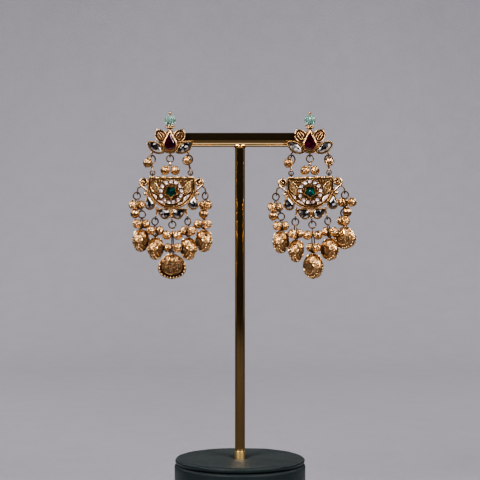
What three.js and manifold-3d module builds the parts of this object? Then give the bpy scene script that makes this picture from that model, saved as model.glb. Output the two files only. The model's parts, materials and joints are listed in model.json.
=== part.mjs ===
// A pair of chandbali earrings hung on a T-bar display stand.
//
// Units are millimetres, +Z is up and the earrings face -Y. The origin is the centre of the
// stand's underside, on the surface that it stands on.
//
// The stand is a leatherette drum with a padded lid, a round post and a round crossbar. Each
// earring has a lotus stud whose ear post goes through the crossbar. Three loops under the stud
// lie on one line along X, and the drop hangs from them and swings about it: two links, a
// half-moon plate set with stones, and five strings of hollow balls that end in puffed drops.
import * as THREE from "three";
import { mergeVertices } from "three/addons/utils/BufferGeometryUtils.js";
import { ConvexGeometry } from "three/addons/geometries/ConvexGeometry.js";
import Module from "manifold-3d";

const wasm = await Module();
wasm.setup();

const GAP = 0.3; // clearance between neighbouring pieces
const DEG = Math.PI / 180;

// ---------------------------------------------------------------- materials
const finish = (color, roughness, metalness) =>
  new THREE.MeshStandardMaterial({ color, roughness, metalness });
const leatherette = finish(0x24383a, 0.6, 0);
const polishedGold = finish(0xc79a4e, 0.12, 1);
const antiqueGold = finish(0xc8924a, 0.3, 1);
const aquaStone = finish(0x9fd8c6, 0.1, 0);
const rubyStone = finish(0x5a0e2c, 0.08, 0);
const emeraldStone = finish(0x0b5a48, 0.08, 0);
const clearStone = finish(0xe6e6ea, 0.05, 0);

// ---------------------------------------------------------------- solids from three.js shapes
// A closed geometry as a manifold-3d solid: vertices are merged and empty triangles are dropped.
function solid(geometry) {
  const bare = geometry.index ? geometry.toNonIndexed() : geometry.clone();
  bare.deleteAttribute("normal");
  bare.deleteAttribute("uv");
  const merged = mergeVertices(bare, 1e-4);
  const index = merged.index.array;
  const kept = [];
  for (let i = 0; i < index.length; i += 3) {
    const [a, b, c] = [index[i], index[i + 1], index[i + 2]];
    if (a !== b && b !== c && c !== a) kept.push(a, b, c);
  }
  const vertProperties = merged.attributes.position.array;
  const triVerts = new Uint32Array(kept);
  return new wasm.Manifold(new wasm.Mesh({ numProp: 3, vertProperties, triVerts }));
}

// A closed geometry or a solid as a named mesh.
function piece(name, shape, material) {
  const made = shape.isBufferGeometry ? solid(shape) : shape;
  const { vertProperties, triVerts } = made.getMesh();
  const geometry = new THREE.BufferGeometry();
  geometry.setAttribute("position", new THREE.BufferAttribute(vertProperties, 3));
  geometry.setIndex(new THREE.BufferAttribute(triVerts, 1));
  const mesh = new THREE.Mesh(geometry, material);
  mesh.name = name;
  return mesh;
}

const join = (solids) => solids.reduce((a, b) => a.add(b));

// Turns a geometry in degrees about X, then Y, then Z, and moves it.
function placed(geometry, [x, y, z], [turnX, turnY, turnZ] = [0, 0, 0]) {
  return geometry
    .rotateX(turnX * DEG)
    .rotateY(turnY * DEG)
    .rotateZ(turnZ * DEG)
    .translate(x, y, z);
}

// A flat shape drawn in x and z, made solid from its back at yBack forward to yFront.
function slab(shape, yBack, yFront, curveSegments = 2) {
  const options = { depth: yBack - yFront, bevelEnabled: false, curveSegments };
  const geometry = new THREE.ExtrudeGeometry(shape, options);
  return geometry.rotateX(90 * DEG).translate(0, yBack, 0);
}

// A wire bent into a ring whose plane faces the front, then turned about Z.
function wireRing(radius, wire, at, turn = 0, sides = 6) {
  const geometry = new THREE.TorusGeometry(radius, wire, 3, sides);
  return solid(placed(geometry, at, [90, 0, turn]));
}

function ball(radius, at, sides = 6) {
  const geometry = new THREE.SphereGeometry(radius, sides, sides - 2);
  return solid(placed(geometry, at, [90, 0, 0]));
}

// A short straight rod between two points.
function rod(radius, from, to, sides = 3) {
  const [a, b] = [new THREE.Vector3(...from), new THREE.Vector3(...to)];
  const geometry = new THREE.CylinderGeometry(radius, radius, a.distanceTo(b), sides);
  const direction = b.clone().sub(a).normalize();
  const up = new THREE.Vector3(0, 1, 0);
  geometry.applyQuaternion(new THREE.Quaternion().setFromUnitVectors(up, direction));
  return solid(geometry.translate(...a.add(b).multiplyScalar(0.5).toArray()));
}

// ---------------------------------------------------------------- flat outlines, in x and z
// Round at the bottom about 0,0 and pointed at the top, at the height of tip.
function teardrop(radius, tip) {
  const tangent = Math.acos(radius / tip);
  const start = 90 * DEG + tangent;
  const shape = new THREE.Shape();
  shape.moveTo(0, tip);
  shape.lineTo(radius * Math.cos(start), radius * Math.sin(start));
  shape.absarc(0, 0, radius, start, 450 * DEG - tangent, false);
  shape.closePath();
  return shape;
}

// Two arcs that meet in a point at each end, lying along z.
function marquise(length, width) {
  const radius = (length ** 2 + width ** 2) / (4 * width);
  const centre = radius - width / 2;
  const half = Math.asin(length / 2 / radius);
  const shape = new THREE.Shape();
  shape.moveTo(0, -length / 2);
  shape.absarc(-centre, 0, radius, -half, half, false);
  shape.absarc(centre, 0, radius, 180 * DEG - half, 180 * DEG + half, false);
  return shape;
}

// Five points, one of them straight down.
function star(tipRadius, valleyRadius) {
  const points = [];
  for (let i = 0; i < 10; i += 1) {
    const angle = (-90 + 36 * i) * DEG;
    const radius = i % 2 ? valleyRadius : tipRadius;
    points.push(new THREE.Vector2(radius * Math.cos(angle), radius * Math.sin(angle)));
  }
  return new THREE.Shape(points);
}

// The part of a disc about 0,-drop that lies below z = 0.
function halfMoon(radius, drop) {
  const start = Math.asin(drop / radius);
  const shape = new THREE.Shape();
  shape.absarc(0, -drop, radius, 180 * DEG - start, 360 * DEG + start, false);
  shape.closePath();
  return shape;
}

// ---------------------------------------------------------------- settings and stones
const bezelWall = 0.5; // thickness of the gold wall round a stone
const cupFront = -1.3; // y of the front of a cup
const paleStone = 1.2; // height of a clear stone

// Puts a setting at its place in x and z, leaning by so many degrees, clockwise.
const seat = (geometry, { x, z, lean }) => geometry.rotateY(lean * DEG).translate(x, 0, z);

// A stone from its outline: a straight girdle with a smaller table in front of it.
function cutStone(shape, yBack, height) {
  const table = 0.5; // size of the table, as a share of the girdle
  const points = [];
  for (const { x, y } of shape.getPoints(2)) {
    points.push(new THREE.Vector3(x, yBack, y));
    points.push(new THREE.Vector3(x, yBack - height / 2, y));
    points.push(new THREE.Vector3(x * table, yBack - height, y * table));
  }
  return new ConvexGeometry(points);
}

// A cup at its seat, with a pocket that clears its stone all round and behind.
function stoneCup(where, yBack, yFront, floor) {
  const wall = where.wall ?? bezelWall;
  const outside = seat(slab(inset(where, 0), yBack, yFront), where);
  const pocket = seat(slab(inset(where, wall), floor, yFront - 1), where);
  return solid(outside).subtract(solid(pocket));
}

// A setting's outline made smaller all round: a teardrop has a tip, and a marquise has a length.
function inset({ radius, tip, length, width }, by) {
  if (radius) return teardrop(radius - by, tip - by * (tip / radius));
  return marquise(length - 2.6 * by, width - 2 * by);
}

const mirrored = (where) => ({ ...where, x: -where.x, lean: -where.lean });

// ---------------------------------------------------------------- stand
const drumRadius = 32.7;
const drumHeight = 25;
const lidRadius = 32.3;
const lidTop = 28;
const lidEdge = 1.2; // height and width of the lid's soft upper edge
const postRadius = 2.5;
const socketDepth = 12; // how far the post goes down into the base
const barRadius = 3.5;
const barLength = 79;
const barHeight = 186.8; // of the crossbar's axis
const spigotRadius = 1.5; // of the post's end inside the crossbar
const studSpacing = 69.4; // between the ear posts, along the crossbar
const earPostRadius = 0.45;
const boreClearance = 0.4;

// A closed profile of radius and height, turned about Z.
function turnedShape(profile, segments) {
  const points = profile.map(([radius, height]) => new THREE.Vector2(radius, height));
  points.push(points[0].clone());
  return new THREE.LatheGeometry(points, segments).rotateX(90 * DEG);
}

// The drum is solid board under its cover, with a blind socket for the post.
const socketRadius = postRadius + GAP;
const socketFloor = lidTop - socketDepth;
const drum = turnedShape(
  [
    [0, 0],
    [drumRadius, 0],
    [drumRadius, drumHeight],
    [socketRadius, drumHeight],
    [socketRadius, socketFloor],
    [0, socketFloor],
  ],
  32,
);

// The lid is a padded disc with a soft upper edge and a hole for the post.
const lid = turnedShape(
  [
    [socketRadius, drumHeight + GAP],
    [lidRadius, drumHeight + GAP],
    [lidRadius, lidTop - lidEdge],
    [lidRadius - lidEdge, lidTop],
    [socketRadius, lidTop],
  ],
  32,
);

// The post ends in a spigot that goes up into the crossbar.
const shoulder = barHeight - barRadius - GAP;
const post = turnedShape(
  [
    [0, socketFloor + GAP],
    [postRadius, socketFloor + GAP],
    [postRadius, shoulder],
    [spigotRadius, shoulder],
    [spigotRadius, barHeight],
    [0, barHeight],
  ],
  14,
);

// The crossbar is drilled for the two ear posts, and from below for the spigot.
function crossbar() {
  const bore = (radius, length) => new THREE.CylinderGeometry(radius, radius, length, 8);
  const tube = new THREE.CylinderGeometry(barRadius, barRadius, barLength, 20);
  let bar = solid(placed(tube, [0, 0, barHeight], [0, 0, 90]));
  for (const side of [-1, 1]) {
    const hole = bore(earPostRadius + boreClearance, 4 * barRadius);
    bar = bar.subtract(solid(placed(hole, [(side * studSpacing) / 2, 0, barHeight])));
  }
  const blindHole = bore(spigotRadius + boreClearance, 2 * barRadius + 1);
  return bar.subtract(solid(placed(blindHole, [0, 0, barHeight - barRadius], [90, 0, 0])));
}

const stand = new THREE.Group();
stand.add(piece("base_drum", drum, leatherette));
stand.add(piece("base_lid", lid, leatherette));
stand.add(piece("stand_post", post, polishedGold));
stand.add(piece("stand_crossbar", crossbar(), polishedGold));

// ---------------------------------------------------------------- the earrings' own frame
// Each earring is modelled about the line that its drop swings on: x to the right, y = 0 in the
// loops under the stud, and z up from them.
const swingLine = { y: -4.9, z: 178.9 };
const loop = { radius: 0.95, wire: 0.3 }; // the small loops soldered to the stud and the plate
const ringWire = 0.35;
const ballRadius = 2.3;

// A loop seen edge-on, so that a ring that faces the front goes through it.
const loopAt = ({ x, z }) => wireRing(loop.radius, loop.wire, [x, 0, z], 90);

// A ball on a short stalk from the ring or link above it.
function hungBall([x, y, z], from) {
  return [ball(ballRadius, [x, y, z]), rod(0.3, [x, y, z + ballRadius - 0.6], from)];
}

// ---------------------------------------------------------------- stud
const studBack = 1.1;
const studFace = 0.1; // the front of the lotus plate, which the settings stand on
const studMiddle = (studBack + studFace) / 2;
const studLoops = [-9.2, 0, 9.2]; // along x
const rubySetting = { radius: 3.5, tip: 7.1, x: 0, z: 5.3, lean: 0, wall: 0.9 };
const rubyCup = { front: -2, floor: -0.4, stone: 1.6 };
const leafSetting = { length: 9.6, width: 4.9, x: 7.2, z: 3.75, lean: 57 };
const petal = { length: 7.2, width: 5.8, x: 4.6, z: 9.5, lean: 33, front: -0.7 };
const lotusBase = { radius: 5.6, z: 6.4 };
const collar = { radius: 2.3, bottom: 13.3, top: 14.9 };
const studBead = { radius: 2.9, height: 4.5, hole: 0.75, bottom: collar.top + GAP };
const pin = { radius: 0.35, head: 0.65, top: studBead.bottom + studBead.height + 2 * GAP };

// Petals, leaves, the ruby's cup, the collar, the pin, the loops and the ear post, all soldered.
function lotusStud() {
  const disc = new THREE.CylinderGeometry(lotusBase.radius, lotusBase.radius, studBack - studFace, 10);
  const parts = [solid(placed(disc, [0, studMiddle, lotusBase.z]))];
  for (const where of [petal, mirrored(petal)]) {
    parts.push(solid(seat(slab(inset(where, 0), studBack, where.front), where)));
  }
  for (const where of [leafSetting, mirrored(leafSetting)]) {
    parts.push(stoneCup(where, studBack, cupFront, studFace));
  }
  const { front, floor } = rubyCup;
  const place = solid(seat(slab(inset(rubySetting, 0), studBack + 1, 2 * front), rubySetting));
  const plate = join(parts).subtract(place).add(stoneCup(rubySetting, studBack, front, floor));
  const { radius, bottom, top } = collar;
  const washer = new THREE.CylinderGeometry(radius, radius, top - bottom, 8);
  const collarMiddle = (top + bottom) / 2;
  const postHeight = barHeight - swingLine.z;
  return join([
    plate,
    rod(1.2, [0, studMiddle, 11.5], [0, studMiddle, collarMiddle], 4),
    solid(placed(washer, [0, studMiddle, collarMiddle], [90, 0, 0])),
    rod(pin.radius, [0, studMiddle, collarMiddle], [0, studMiddle, pin.top + pin.head], 5),
    solid(placed(new THREE.SphereGeometry(pin.head, 5, 3), [0, studMiddle, pin.top + pin.head])),
    rod(earPostRadius, [0, studMiddle, postHeight], [0, 3 * barRadius, postHeight], 6),
    ...studLoops.map((x) => loopAt({ x, z: 0 })),
    ...studLoops.map((x) => rod(0.5, [x, 0.2, 0.95], [x * 0.88, 0.5, 2.4])),
  ]);
}

// The bead on top is oval and drilled for the pin.
function beadOnPin() {
  const { radius, height, hole, bottom } = studBead;
  const profile = [[hole, -height / 2]];
  for (const angle of [-50, 0, 50]) {
    profile.push([radius * Math.cos(angle * DEG), (height / 2) * Math.sin(angle * DEG) * 1.15]);
  }
  profile.push([hole, height / 2]);
  return turnedShape(profile, 10).translate(0, studMiddle, bottom + height / 2);
}

// ---------------------------------------------------------------- half-moon plate
// Places on the plate are measured from the middle of its straight upper edge.
const moonTop = -10.9; // of that edge
const moon = { radius: 11.9, drop: 4.0, back: 1.0, face: 0.1, rim: -1.1, rimWidth: 1.1 };
const flower = { x: -0.2, z: -7.4, radius: 6.2, front: -0.5 };
const starSetting = { tip: 3.9, valley: 2.5, front: -1.9, floor: -0.4, tipWall: 1.1 };
const moonLeaf = { length: 8.8, width: 3.9, x: 8.4, z: -5.3, lean: 28 };
const sideDrop = { radius: 2.65, tip: 5.4, x: 10.8, z: -13.5, lean: 9 };
const lowDrop = { radius: 2.65, tip: 5.4, x: 3.0, z: -18.2, lean: 64 };
const scroll = { x: 13.6, z: -2.6, radius: 1.85, wire: 0.65, curl: 1.1 };
const granule = { x: 12.9, z: -8.2, radius: 0.9 };
const topLoop = { x: 9.4, z: 1.0 };
const stringLoops = [
  { x: -16.9, z: -7.6 },
  { x: -7.9, z: -20.3 },
  { x: 0.2, z: -21.9 },
  { x: 7.9, z: -20.3 },
  { x: 16.9, z: -7.6 },
];

// The base, its rim and its rolled upper edge.
function moonBase() {
  const { radius, drop, back, face, rim, rimWidth } = moon;
  const base = solid(slab(halfMoon(radius, drop), back, rim, 6));
  const recess = slab(halfMoon(radius - rimWidth, drop), face, rim - 1, 6);
  const chord = Math.sqrt(radius ** 2 - drop ** 2);
  return [base.subtract(solid(recess)), rod(0.85, [-chord, 0, -0.7], [chord, 0, -0.7], 6)];
}

// A scroll at one end of the plate, with the wire that carries the first or last string's loop.
function hornScroll(side) {
  const [x, z] = [side * scroll.x, scroll.z];
  const outer = { x: side * stringLoops.at(-1).x, z: stringLoops.at(-1).z };
  return [
    wireRing(scroll.radius, scroll.wire, [x, 0, z], 0, 8),
    ball(scroll.curl, [x + side * 0.3, 0, z + 0.5], 5),
    rod(0.6, [x + side * 0.6, 0, z - 1.7], [x - side * 2.6, 0.2, -8.9], 4),
    ball(granule.radius, [side * granule.x, 0, granule.z], 5),
    rod(0.35, [x + side * 1.3, 0, z - 1.4], [outer.x, 0, outer.z + loop.radius]),
    loopAt(outer),
  ];
}

// Everything on the plate is soldered to it: rim, flower, star, leaves, scrolls, cups and loops.
function moonPlate() {
  const parts = moonBase();
  const disc = new THREE.CylinderGeometry(flower.radius, flower.radius, 1, 10);
  parts.push(solid(placed(disc, [flower.x, flower.front + 0.5, flower.z])));
  for (const where of [sideDrop, mirrored(sideDrop), lowDrop, mirrored(lowDrop)]) {
    parts.push(stoneCup(where, moon.back, cupFront, 0));
  }
  for (const where of [moonLeaf, mirrored(moonLeaf)]) {
    parts.push(solid(seat(slab(inset(where, 0), moon.face + 0.2, -0.9), where)));
  }
  parts.push(...hornScroll(-1), ...hornScroll(1));
  parts.push(loopAt(topLoop), loopAt(mirrored(topLoop)));
  for (const { x, z } of stringLoops.slice(1, -1)) {
    parts.push(loopAt({ x, z }), rod(0.45, [x, 0, z + 0.8], [x * 0.9, 0.3, z + 3.6], 4));
  }
  parts.push(rod(0.9, [0, 0.2, -15], [0, 0.2, -19.8]));
  const { tip, valley, front, floor, tipWall } = starSetting;
  const cup = slab(star(tip, valley), moon.face + 0.2, front).translate(flower.x, 0, flower.z);
  const pocket = slab(star(tip - tipWall, valley - bezelWall), floor, front - 1);
  parts.push(solid(cup).subtract(solid(pocket.translate(flower.x, 0, flower.z))));
  return join(parts);
}

function starStone() {
  const { tip, valley, front, floor, tipWall } = starSetting;
  const outline = star(tip - tipWall - 2 * GAP, valley - bezelWall - GAP);
  return slab(outline, floor - GAP, front + GAP).translate(flower.x, 0, flower.z);
}

// ---------------------------------------------------------------- strings of balls
const pairSpread = 2.65; // from the middle of a pair of balls to each of them
const stringRing = 1.75;

// One string, from its first ring to the ring that its puffed drop hangs on. A stage is a pair of
// balls on a short bar, turned from facing the front, or a ball beside an open ring.
function ballString({ ring, stages, drop }, start) {
  const first = { x: start.x + ring.shift, z: start.z - stringRing };
  const parts = [wireRing(stringRing, ringWire, [first.x, 0, first.z], ring.turn)];
  let from = [first.x, 0, first.z - stringRing];
  let z = first.z;
  for (const stage of stages) {
    z -= stage.fall;
    const x = start.x + stage.x;
    if (stage.ballX === undefined) {
      const dx = pairSpread * Math.cos(stage.turn * DEG);
      const dy = pairSpread * Math.sin(stage.turn * DEG);
      const pair = [[x - dx, -dy, z], [x + dx, dy, z]];
      parts.push(...pair.map((at) => ball(ballRadius, at)), rod(ringWire, ...pair));
      parts.push(rod(ringWire, from, [x, 0, z]));
      from = [x, 0, z];
    } else {
      parts.push(...hungBall([start.x + stage.ballX, -0.3, z], from));
      parts.push(rod(ringWire, from, [x, 0.5, z + stringRing - 0.4]));
      parts.push(wireRing(stringRing, ringWire, [x, 0.5, z - 0.4], stage.turn));
      from = [x, 0.5, z - 0.4 - stringRing];
    }
  }
  const end = [start.x + drop.x, 0, z - drop.fall];
  const endRing = drop.fall / 2;
  parts.push(wireRing(endRing, loop.wire, [end[0], 0, z - endRing], drop.turn + 90));
  return { solid: join(parts), end };
}

// ---------------------------------------------------------------- puffed drops
// Half width across the broad face, and half thickness, at depths below the top.
const dropSections = [
  { depth: 0, width: 1.5, thickness: 1.3 },
  { depth: 1.2, width: 3.6, thickness: 2.8 },
  { depth: 3.6, width: 5.7, thickness: 3.5 },
  { depth: 7.0, width: 6.75, thickness: 3.4 },
  { depth: 10.2, width: 5.3, thickness: 2.3 },
  { depth: 12.3, width: 1.8, thickness: 0.9 },
];
const dropLoop = { radius: 0.9, height: 0.6 }; // height is from the drop's top to the loop's middle

// Oval sections, closed at both ends, hung by a loop whose middle is at 0,0,0.
function puffedDrop(size) {
  const points = dropSections.map(({ depth, width }) => new THREE.Vector2(width, -depth));
  points.unshift(new THREE.Vector2(0, 0));
  points.push(new THREE.Vector2(0, -dropSections.at(-1).depth));
  const geometry = new THREE.LatheGeometry(points.reverse(), 10).rotateX(90 * DEG);
  const place = geometry.attributes.position;
  for (let i = 0; i < place.count; i += 1) {
    const { width, thickness } = dropSections.find(({ depth }) => Math.abs(depth + place.getZ(i)) < 0.01);
    place.setY(i, (place.getY(i) * thickness) / width);
  }
  geometry.scale(size, size, size).translate(0, 0, -dropLoop.height);
  return solid(geometry).add(wireRing(dropLoop.radius, loop.wire, [0, 0, 0]));
}

// ---------------------------------------------------------------- links from stud to plate
const linkRing = 2.1;
const linkFoot = 1.15; // radius of the small ring on the plate's loop

// An open ring with a ball beside it, and a small ring at the foot.
function sideLink(x, foot, { turn, ballX, ballY, ballZ }) {
  const bottom = -2 * linkRing;
  const footTop = foot.z + 2 * linkFoot;
  return join([
    wireRing(linkRing, ringWire, [x, 0, -linkRing], turn),
    rod(0.4, [x, 0, bottom], [foot.x, 0, footTop]),
    wireRing(linkFoot, loop.wire, [foot.x, 0, foot.z + linkFoot]),
    ...hungBall([x + ballX, ballY, ballZ], [x, 0, bottom]),
  ]);
}

// A ring with two balls under it, in the space between the links.
function middleDangle() {
  const bottom = -2 * stringRing;
  const knot = [0, 0, bottom - 0.9];
  return join([
    wireRing(stringRing, ringWire, [0, 0, -stringRing]),
    rod(0.5, [0, 0, bottom], knot),
    ...hungBall([-2.45, 0, -7.6], knot),
    ...hungBall([2.45, 0, -7.6], knot),
  ]);
}

// ---------------------------------------------------------------- how each earring hangs
// sway is how far the plate has moved along x, and tilt its lean in degrees. In a string, x is
// measured from its loop on the plate, fall is the way down from the stage above, and turn is in
// degrees from facing the front. size is the puffed drop's, as a share of the largest.
const small = 0.89;
const plans = {
  left: {
    sway: 0.7,
    tilt: 0,
    links: [
      { turn: 35, ballX: -1.8, ballY: -0.9, ballZ: -3.9 },
      { turn: 25, ballX: -0.7, ballY: -2.8, ballZ: -2.9 },
    ],
    strings: [
      {
        ring: { shift: -0.3, turn: 0 },
        stages: [
          { x: -0.4, fall: 4.5, turn: 54 },
          { x: 2.2, ballX: -1.2, fall: 4.3, turn: 10 },
          { x: 1.9, fall: 5.1, turn: 42 },
        ],
        drop: { x: 1.7, fall: 2.2, turn: 69, size: small },
      },
      {
        ring: { shift: -0.3, turn: 30 },
        stages: [{ x: -0.2, fall: 4.5, turn: 42 }],
        drop: { x: 0, fall: 2.9, turn: 71, size: small },
      },
      {
        ring: { shift: 0.2, turn: 0 },
        stages: [
          { x: 0.2, fall: 5.2, turn: 5 },
          { x: 0.4, fall: 6.3, turn: -26 },
        ],
        drop: { x: 0.1, fall: 2.5, turn: 3, size: 1 },
      },
      {
        ring: { shift: 0.2, turn: -30 },
        stages: [{ x: 0.5, fall: 4.6, turn: -44 }],
        drop: { x: 0.5, fall: 2.9, turn: -62, size: small },
      },
      {
        ring: { shift: -0.2, turn: -35 },
        stages: [
          { x: 0, fall: 4.6, turn: -65 },
          { x: -0.6, ballX: -1.0, fall: 4.3, turn: -60 },
          { x: -1.4, fall: 5.1, turn: -30 },
        ],
        drop: { x: -0.8, fall: 2.3, turn: -64, size: small },
      },
    ],
  },
  right: {
    sway: 0.1,
    tilt: -1.6,
    links: [
      { turn: 30, ballX: -1.5, ballY: -1.3, ballZ: -4.0 },
      { turn: -30, ballX: 0.3, ballY: -2.9, ballZ: -3.3 },
    ],
    strings: [
      {
        ring: { shift: -0.3, turn: 20 },
        stages: [
          { x: -0.6, fall: 5.1, turn: 50 },
          { x: 2.3, ballX: -1.6, fall: 4.3, turn: 10 },
          { x: 2.2, fall: 5.0, turn: 46 },
        ],
        drop: { x: 2.2, fall: 2.0, turn: 66, size: small },
      },
      {
        ring: { shift: 0, turn: 15 },
        stages: [{ x: 0.2, fall: 5.9, turn: 51 }],
        drop: { x: 0.4, fall: 2.5, turn: 69, size: small },
      },
      {
        ring: { shift: 0.3, turn: 0 },
        stages: [
          { x: 0.5, fall: 5.2, turn: 0 },
          { x: 1.0, fall: 6.2, turn: -60 },
        ],
        drop: { x: 0.7, fall: 2.5, turn: -60, size: 1 },
      },
      {
        ring: { shift: 0.3, turn: 30 },
        stages: [{ x: 1.3, fall: 5.3, turn: -50 }],
        drop: { x: 1.2, fall: 2.7, turn: -59, size: small },
      },
      {
        ring: { shift: 0.2, turn: -15 },
        stages: [
          { x: 1.2, fall: 3.6, turn: -26 },
          { x: -0.6, ballX: 1.2, fall: 4.9, turn: -50 },
          { x: -0.6, fall: 4.4, turn: -72 },
        ],
        drop: { x: 0.1, fall: 2.4, turn: -37, size: small },
      },
    ],
  },
};

// One earring, at its place on the crossbar: the stud's pieces first, then the drop's.
function earring(side, { sway, tilt, links, strings }) {
  const group = new THREE.Group();
  const direction = side === "left" ? -1 : 1;
  group.position.set((direction * studSpacing) / 2, swingLine.y, swingLine.z);
  const add = (to, name, shape, material) => {
    const mesh = piece(`${side}_${name}`, shape, material);
    to.add(mesh);
    return mesh;
  };
  const stone = (where, floor, height) =>
    seat(cutStone(inset(where, (where.wall ?? bezelWall) + GAP), floor - GAP, height), where);

  add(group, "lotus_stud", lotusStud(), antiqueGold);
  add(group, "stud_bead", beadOnPin(), aquaStone);
  add(group, "ruby", stone(rubySetting, rubyCup.floor, rubyCup.stone), rubyStone);
  add(group, "leaf_stone_left", stone(mirrored(leafSetting), studFace, paleStone), clearStone);
  add(group, "leaf_stone_right", stone(leafSetting, studFace, paleStone), clearStone);

  // The plate and its stones lean together. onPlate takes a place on the plate to the earring.
  const plate = new THREE.Group();
  plate.position.set(sway, 0, moonTop);
  plate.rotation.y = tilt * DEG;
  plate.updateMatrix();
  const onPlate = ({ x, z }) => new THREE.Vector3(x, 0, z).applyMatrix4(plate.matrix);
  group.add(plate);
  add(plate, "moon_plate", moonPlate(), antiqueGold);
  add(plate, "star_stone", starStone(), emeraldStone);
  for (const [name, where] of Object.entries({ side: sideDrop, low: lowDrop })) {
    add(plate, `${name}_stone_left`, stone(mirrored(where), 0, paleStone), clearStone);
    add(plate, `${name}_stone_right`, stone(where, 0, paleStone), clearStone);
  }

  add(group, "link_left", sideLink(studLoops[0], onPlate(mirrored(topLoop)), links[0]), antiqueGold);
  add(group, "link_right", sideLink(studLoops[2], onPlate(topLoop), links[1]), antiqueGold);
  add(group, "middle_dangle", middleDangle(), antiqueGold);
  strings.forEach((string, i) => {
    const made = ballString(string, onPlate(stringLoops[i]));
    add(group, `string_${i + 1}`, made.solid, antiqueGold);
    const hung = add(group, `puffed_drop_${i + 1}`, puffedDrop(string.drop.size), antiqueGold);
    hung.position.set(...made.end);
    hung.rotation.z = string.drop.turn * DEG;
  });
  return group;
}

const model = new THREE.Group();
model.add(stand, earring("left", plans.left), earring("right", plans.right));

export default model;
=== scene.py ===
import json
import math

import bmesh
import bpy
from mathutils import Matrix, Vector, noise


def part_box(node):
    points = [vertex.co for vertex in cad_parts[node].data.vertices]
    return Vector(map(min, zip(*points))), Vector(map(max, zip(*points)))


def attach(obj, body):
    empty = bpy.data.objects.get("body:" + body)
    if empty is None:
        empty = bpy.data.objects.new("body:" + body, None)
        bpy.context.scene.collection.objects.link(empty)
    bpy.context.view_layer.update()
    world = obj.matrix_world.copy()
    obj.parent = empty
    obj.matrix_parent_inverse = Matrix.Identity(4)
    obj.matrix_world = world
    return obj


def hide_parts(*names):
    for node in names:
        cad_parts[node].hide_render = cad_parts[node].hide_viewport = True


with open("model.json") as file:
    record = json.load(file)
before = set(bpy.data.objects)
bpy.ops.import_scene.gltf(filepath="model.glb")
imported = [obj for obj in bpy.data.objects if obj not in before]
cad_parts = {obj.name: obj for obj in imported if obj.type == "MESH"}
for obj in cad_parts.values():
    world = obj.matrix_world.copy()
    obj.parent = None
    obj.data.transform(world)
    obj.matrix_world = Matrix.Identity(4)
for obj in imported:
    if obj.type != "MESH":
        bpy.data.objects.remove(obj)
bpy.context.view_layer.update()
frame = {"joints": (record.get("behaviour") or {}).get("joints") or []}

# ------------------------------------------------------------------------------ base drum
# A cylinder of board wrapped in dark green leatherette. The sheet is glued round the wall,
# turned in over the upper edge, and overlaps itself in one upright joint at the back. A disc
# of felt covers the foot.
MM = 0.001  # lengths below are millimetres, and Blender's are metres
DEG = math.pi / 180

drum_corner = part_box("base_drum")[1] / MM
drum_radius = drum_corner.x
drum_height = drum_corner.z
drum_bottom_round = 0.8
drum_top_round = 1.3
foot_recess = 0.25  # that the felt lies in
foot_rim = 2.5  # width of the wrapped rim round the felt
joint_width = 5.0  # of the overlap at the back
joint_rise = 0.3


def arc(centre, radius, start, stop, steps):
    """Points (x, y) along an arc, its angles in degrees."""
    points = []
    for i in range(steps + 1):
        angle = (start + (stop - start) * i / steps) * DEG
        points.append((centre[0] + radius * math.cos(angle), centre[1] + radius * math.sin(angle)))
    return points


def even(start, stop, steps):
    """Numbers from start to stop, both included."""
    return [start + (stop - start) * i / steps for i in range(steps + 1)]


def turned(profile, steps=96):
    """A shape turned on the lathe about Z, from radii and heights that start and end on the axis
    or close on themselves."""
    bm = bmesh.new()
    verts = [bm.verts.new((radius, 0, height)) for radius, height in profile]
    edges = [bm.edges.new(pair) for pair in zip(verts, verts[1:])]
    bmesh.ops.spin(
        bm, geom=verts + edges, cent=(0, 0, 0), axis=(0, 0, 1), angle=math.tau, steps=steps,
        use_merge=True,
    )
    bmesh.ops.remove_doubles(bm, verts=bm.verts, dist=1e-4)
    bmesh.ops.recalc_face_normals(bm, faces=bm.faces)
    return bm


def finished(name, parts, place=Matrix(), sharp=35):
    """One object in metres from (shape in mm, material) pairs, moved to its place. Edges over so
    many degrees stay crisp."""
    whole = bmesh.new()
    whole.verts.layers.float.new("soot_and_shade")
    materials = []
    for part, material in parts:
        if material not in materials:
            materials.append(material)
        for face in part.faces:
            face.material_index = materials.index(material)
        carrier = bpy.data.meshes.new("carrier")
        part.to_mesh(carrier)
        part.free()
        whole.from_mesh(carrier)
        bpy.data.meshes.remove(carrier)
    bmesh.ops.transform(whole, matrix=Matrix.Scale(MM, 4) @ place, verts=whole.verts)
    for face in whole.faces:
        face.smooth = True
    for edge in whole.edges:
        edge.smooth = edge.calc_face_angle(0) < sharp * DEG
    mesh = bpy.data.meshes.new(name)
    whole.to_mesh(mesh)
    whole.free()
    for material in materials:
        mesh.materials.append(material)
    piece = bpy.data.objects.new(name, mesh)
    bpy.context.collection.objects.link(piece)
    return piece


def fitted(piece, body, slot, *nodes):
    """The piece moves with its body and stands for the nodes, which are hidden. slot is not used."""
    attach(piece, body)
    if nodes:
        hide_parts(*nodes)


def put(tree, kind, values=(), **settings):
    """A shader node. values holds (input, number or socket) pairs."""
    node = tree.nodes.new("ShaderNode" + kind)
    for name, value in settings.items():
        setattr(node, name, value)
    for name, value in values:
        if isinstance(value, bpy.types.NodeSocket):
            tree.links.new(value, node.inputs[name])
        else:
            node.inputs[name].default_value = value
    return node


def ranged(tree, value, low, high, out_low=0.0, out_high=1.0):
    """value, moved from low..high to out_low..out_high and held there."""
    ends = (("From Min", low), ("From Max", high), ("To Min", out_low), ("To Max", out_high))
    return put(tree, "MapRange", (("Value", value), *ends), clamp=True).outputs[0]


def sums(tree, operation, a, b):
    """Two numbers put together by one of the Math node's operations."""
    return put(tree, "Math", ((0, a), (1, b)), operation=operation).outputs[0]


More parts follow.
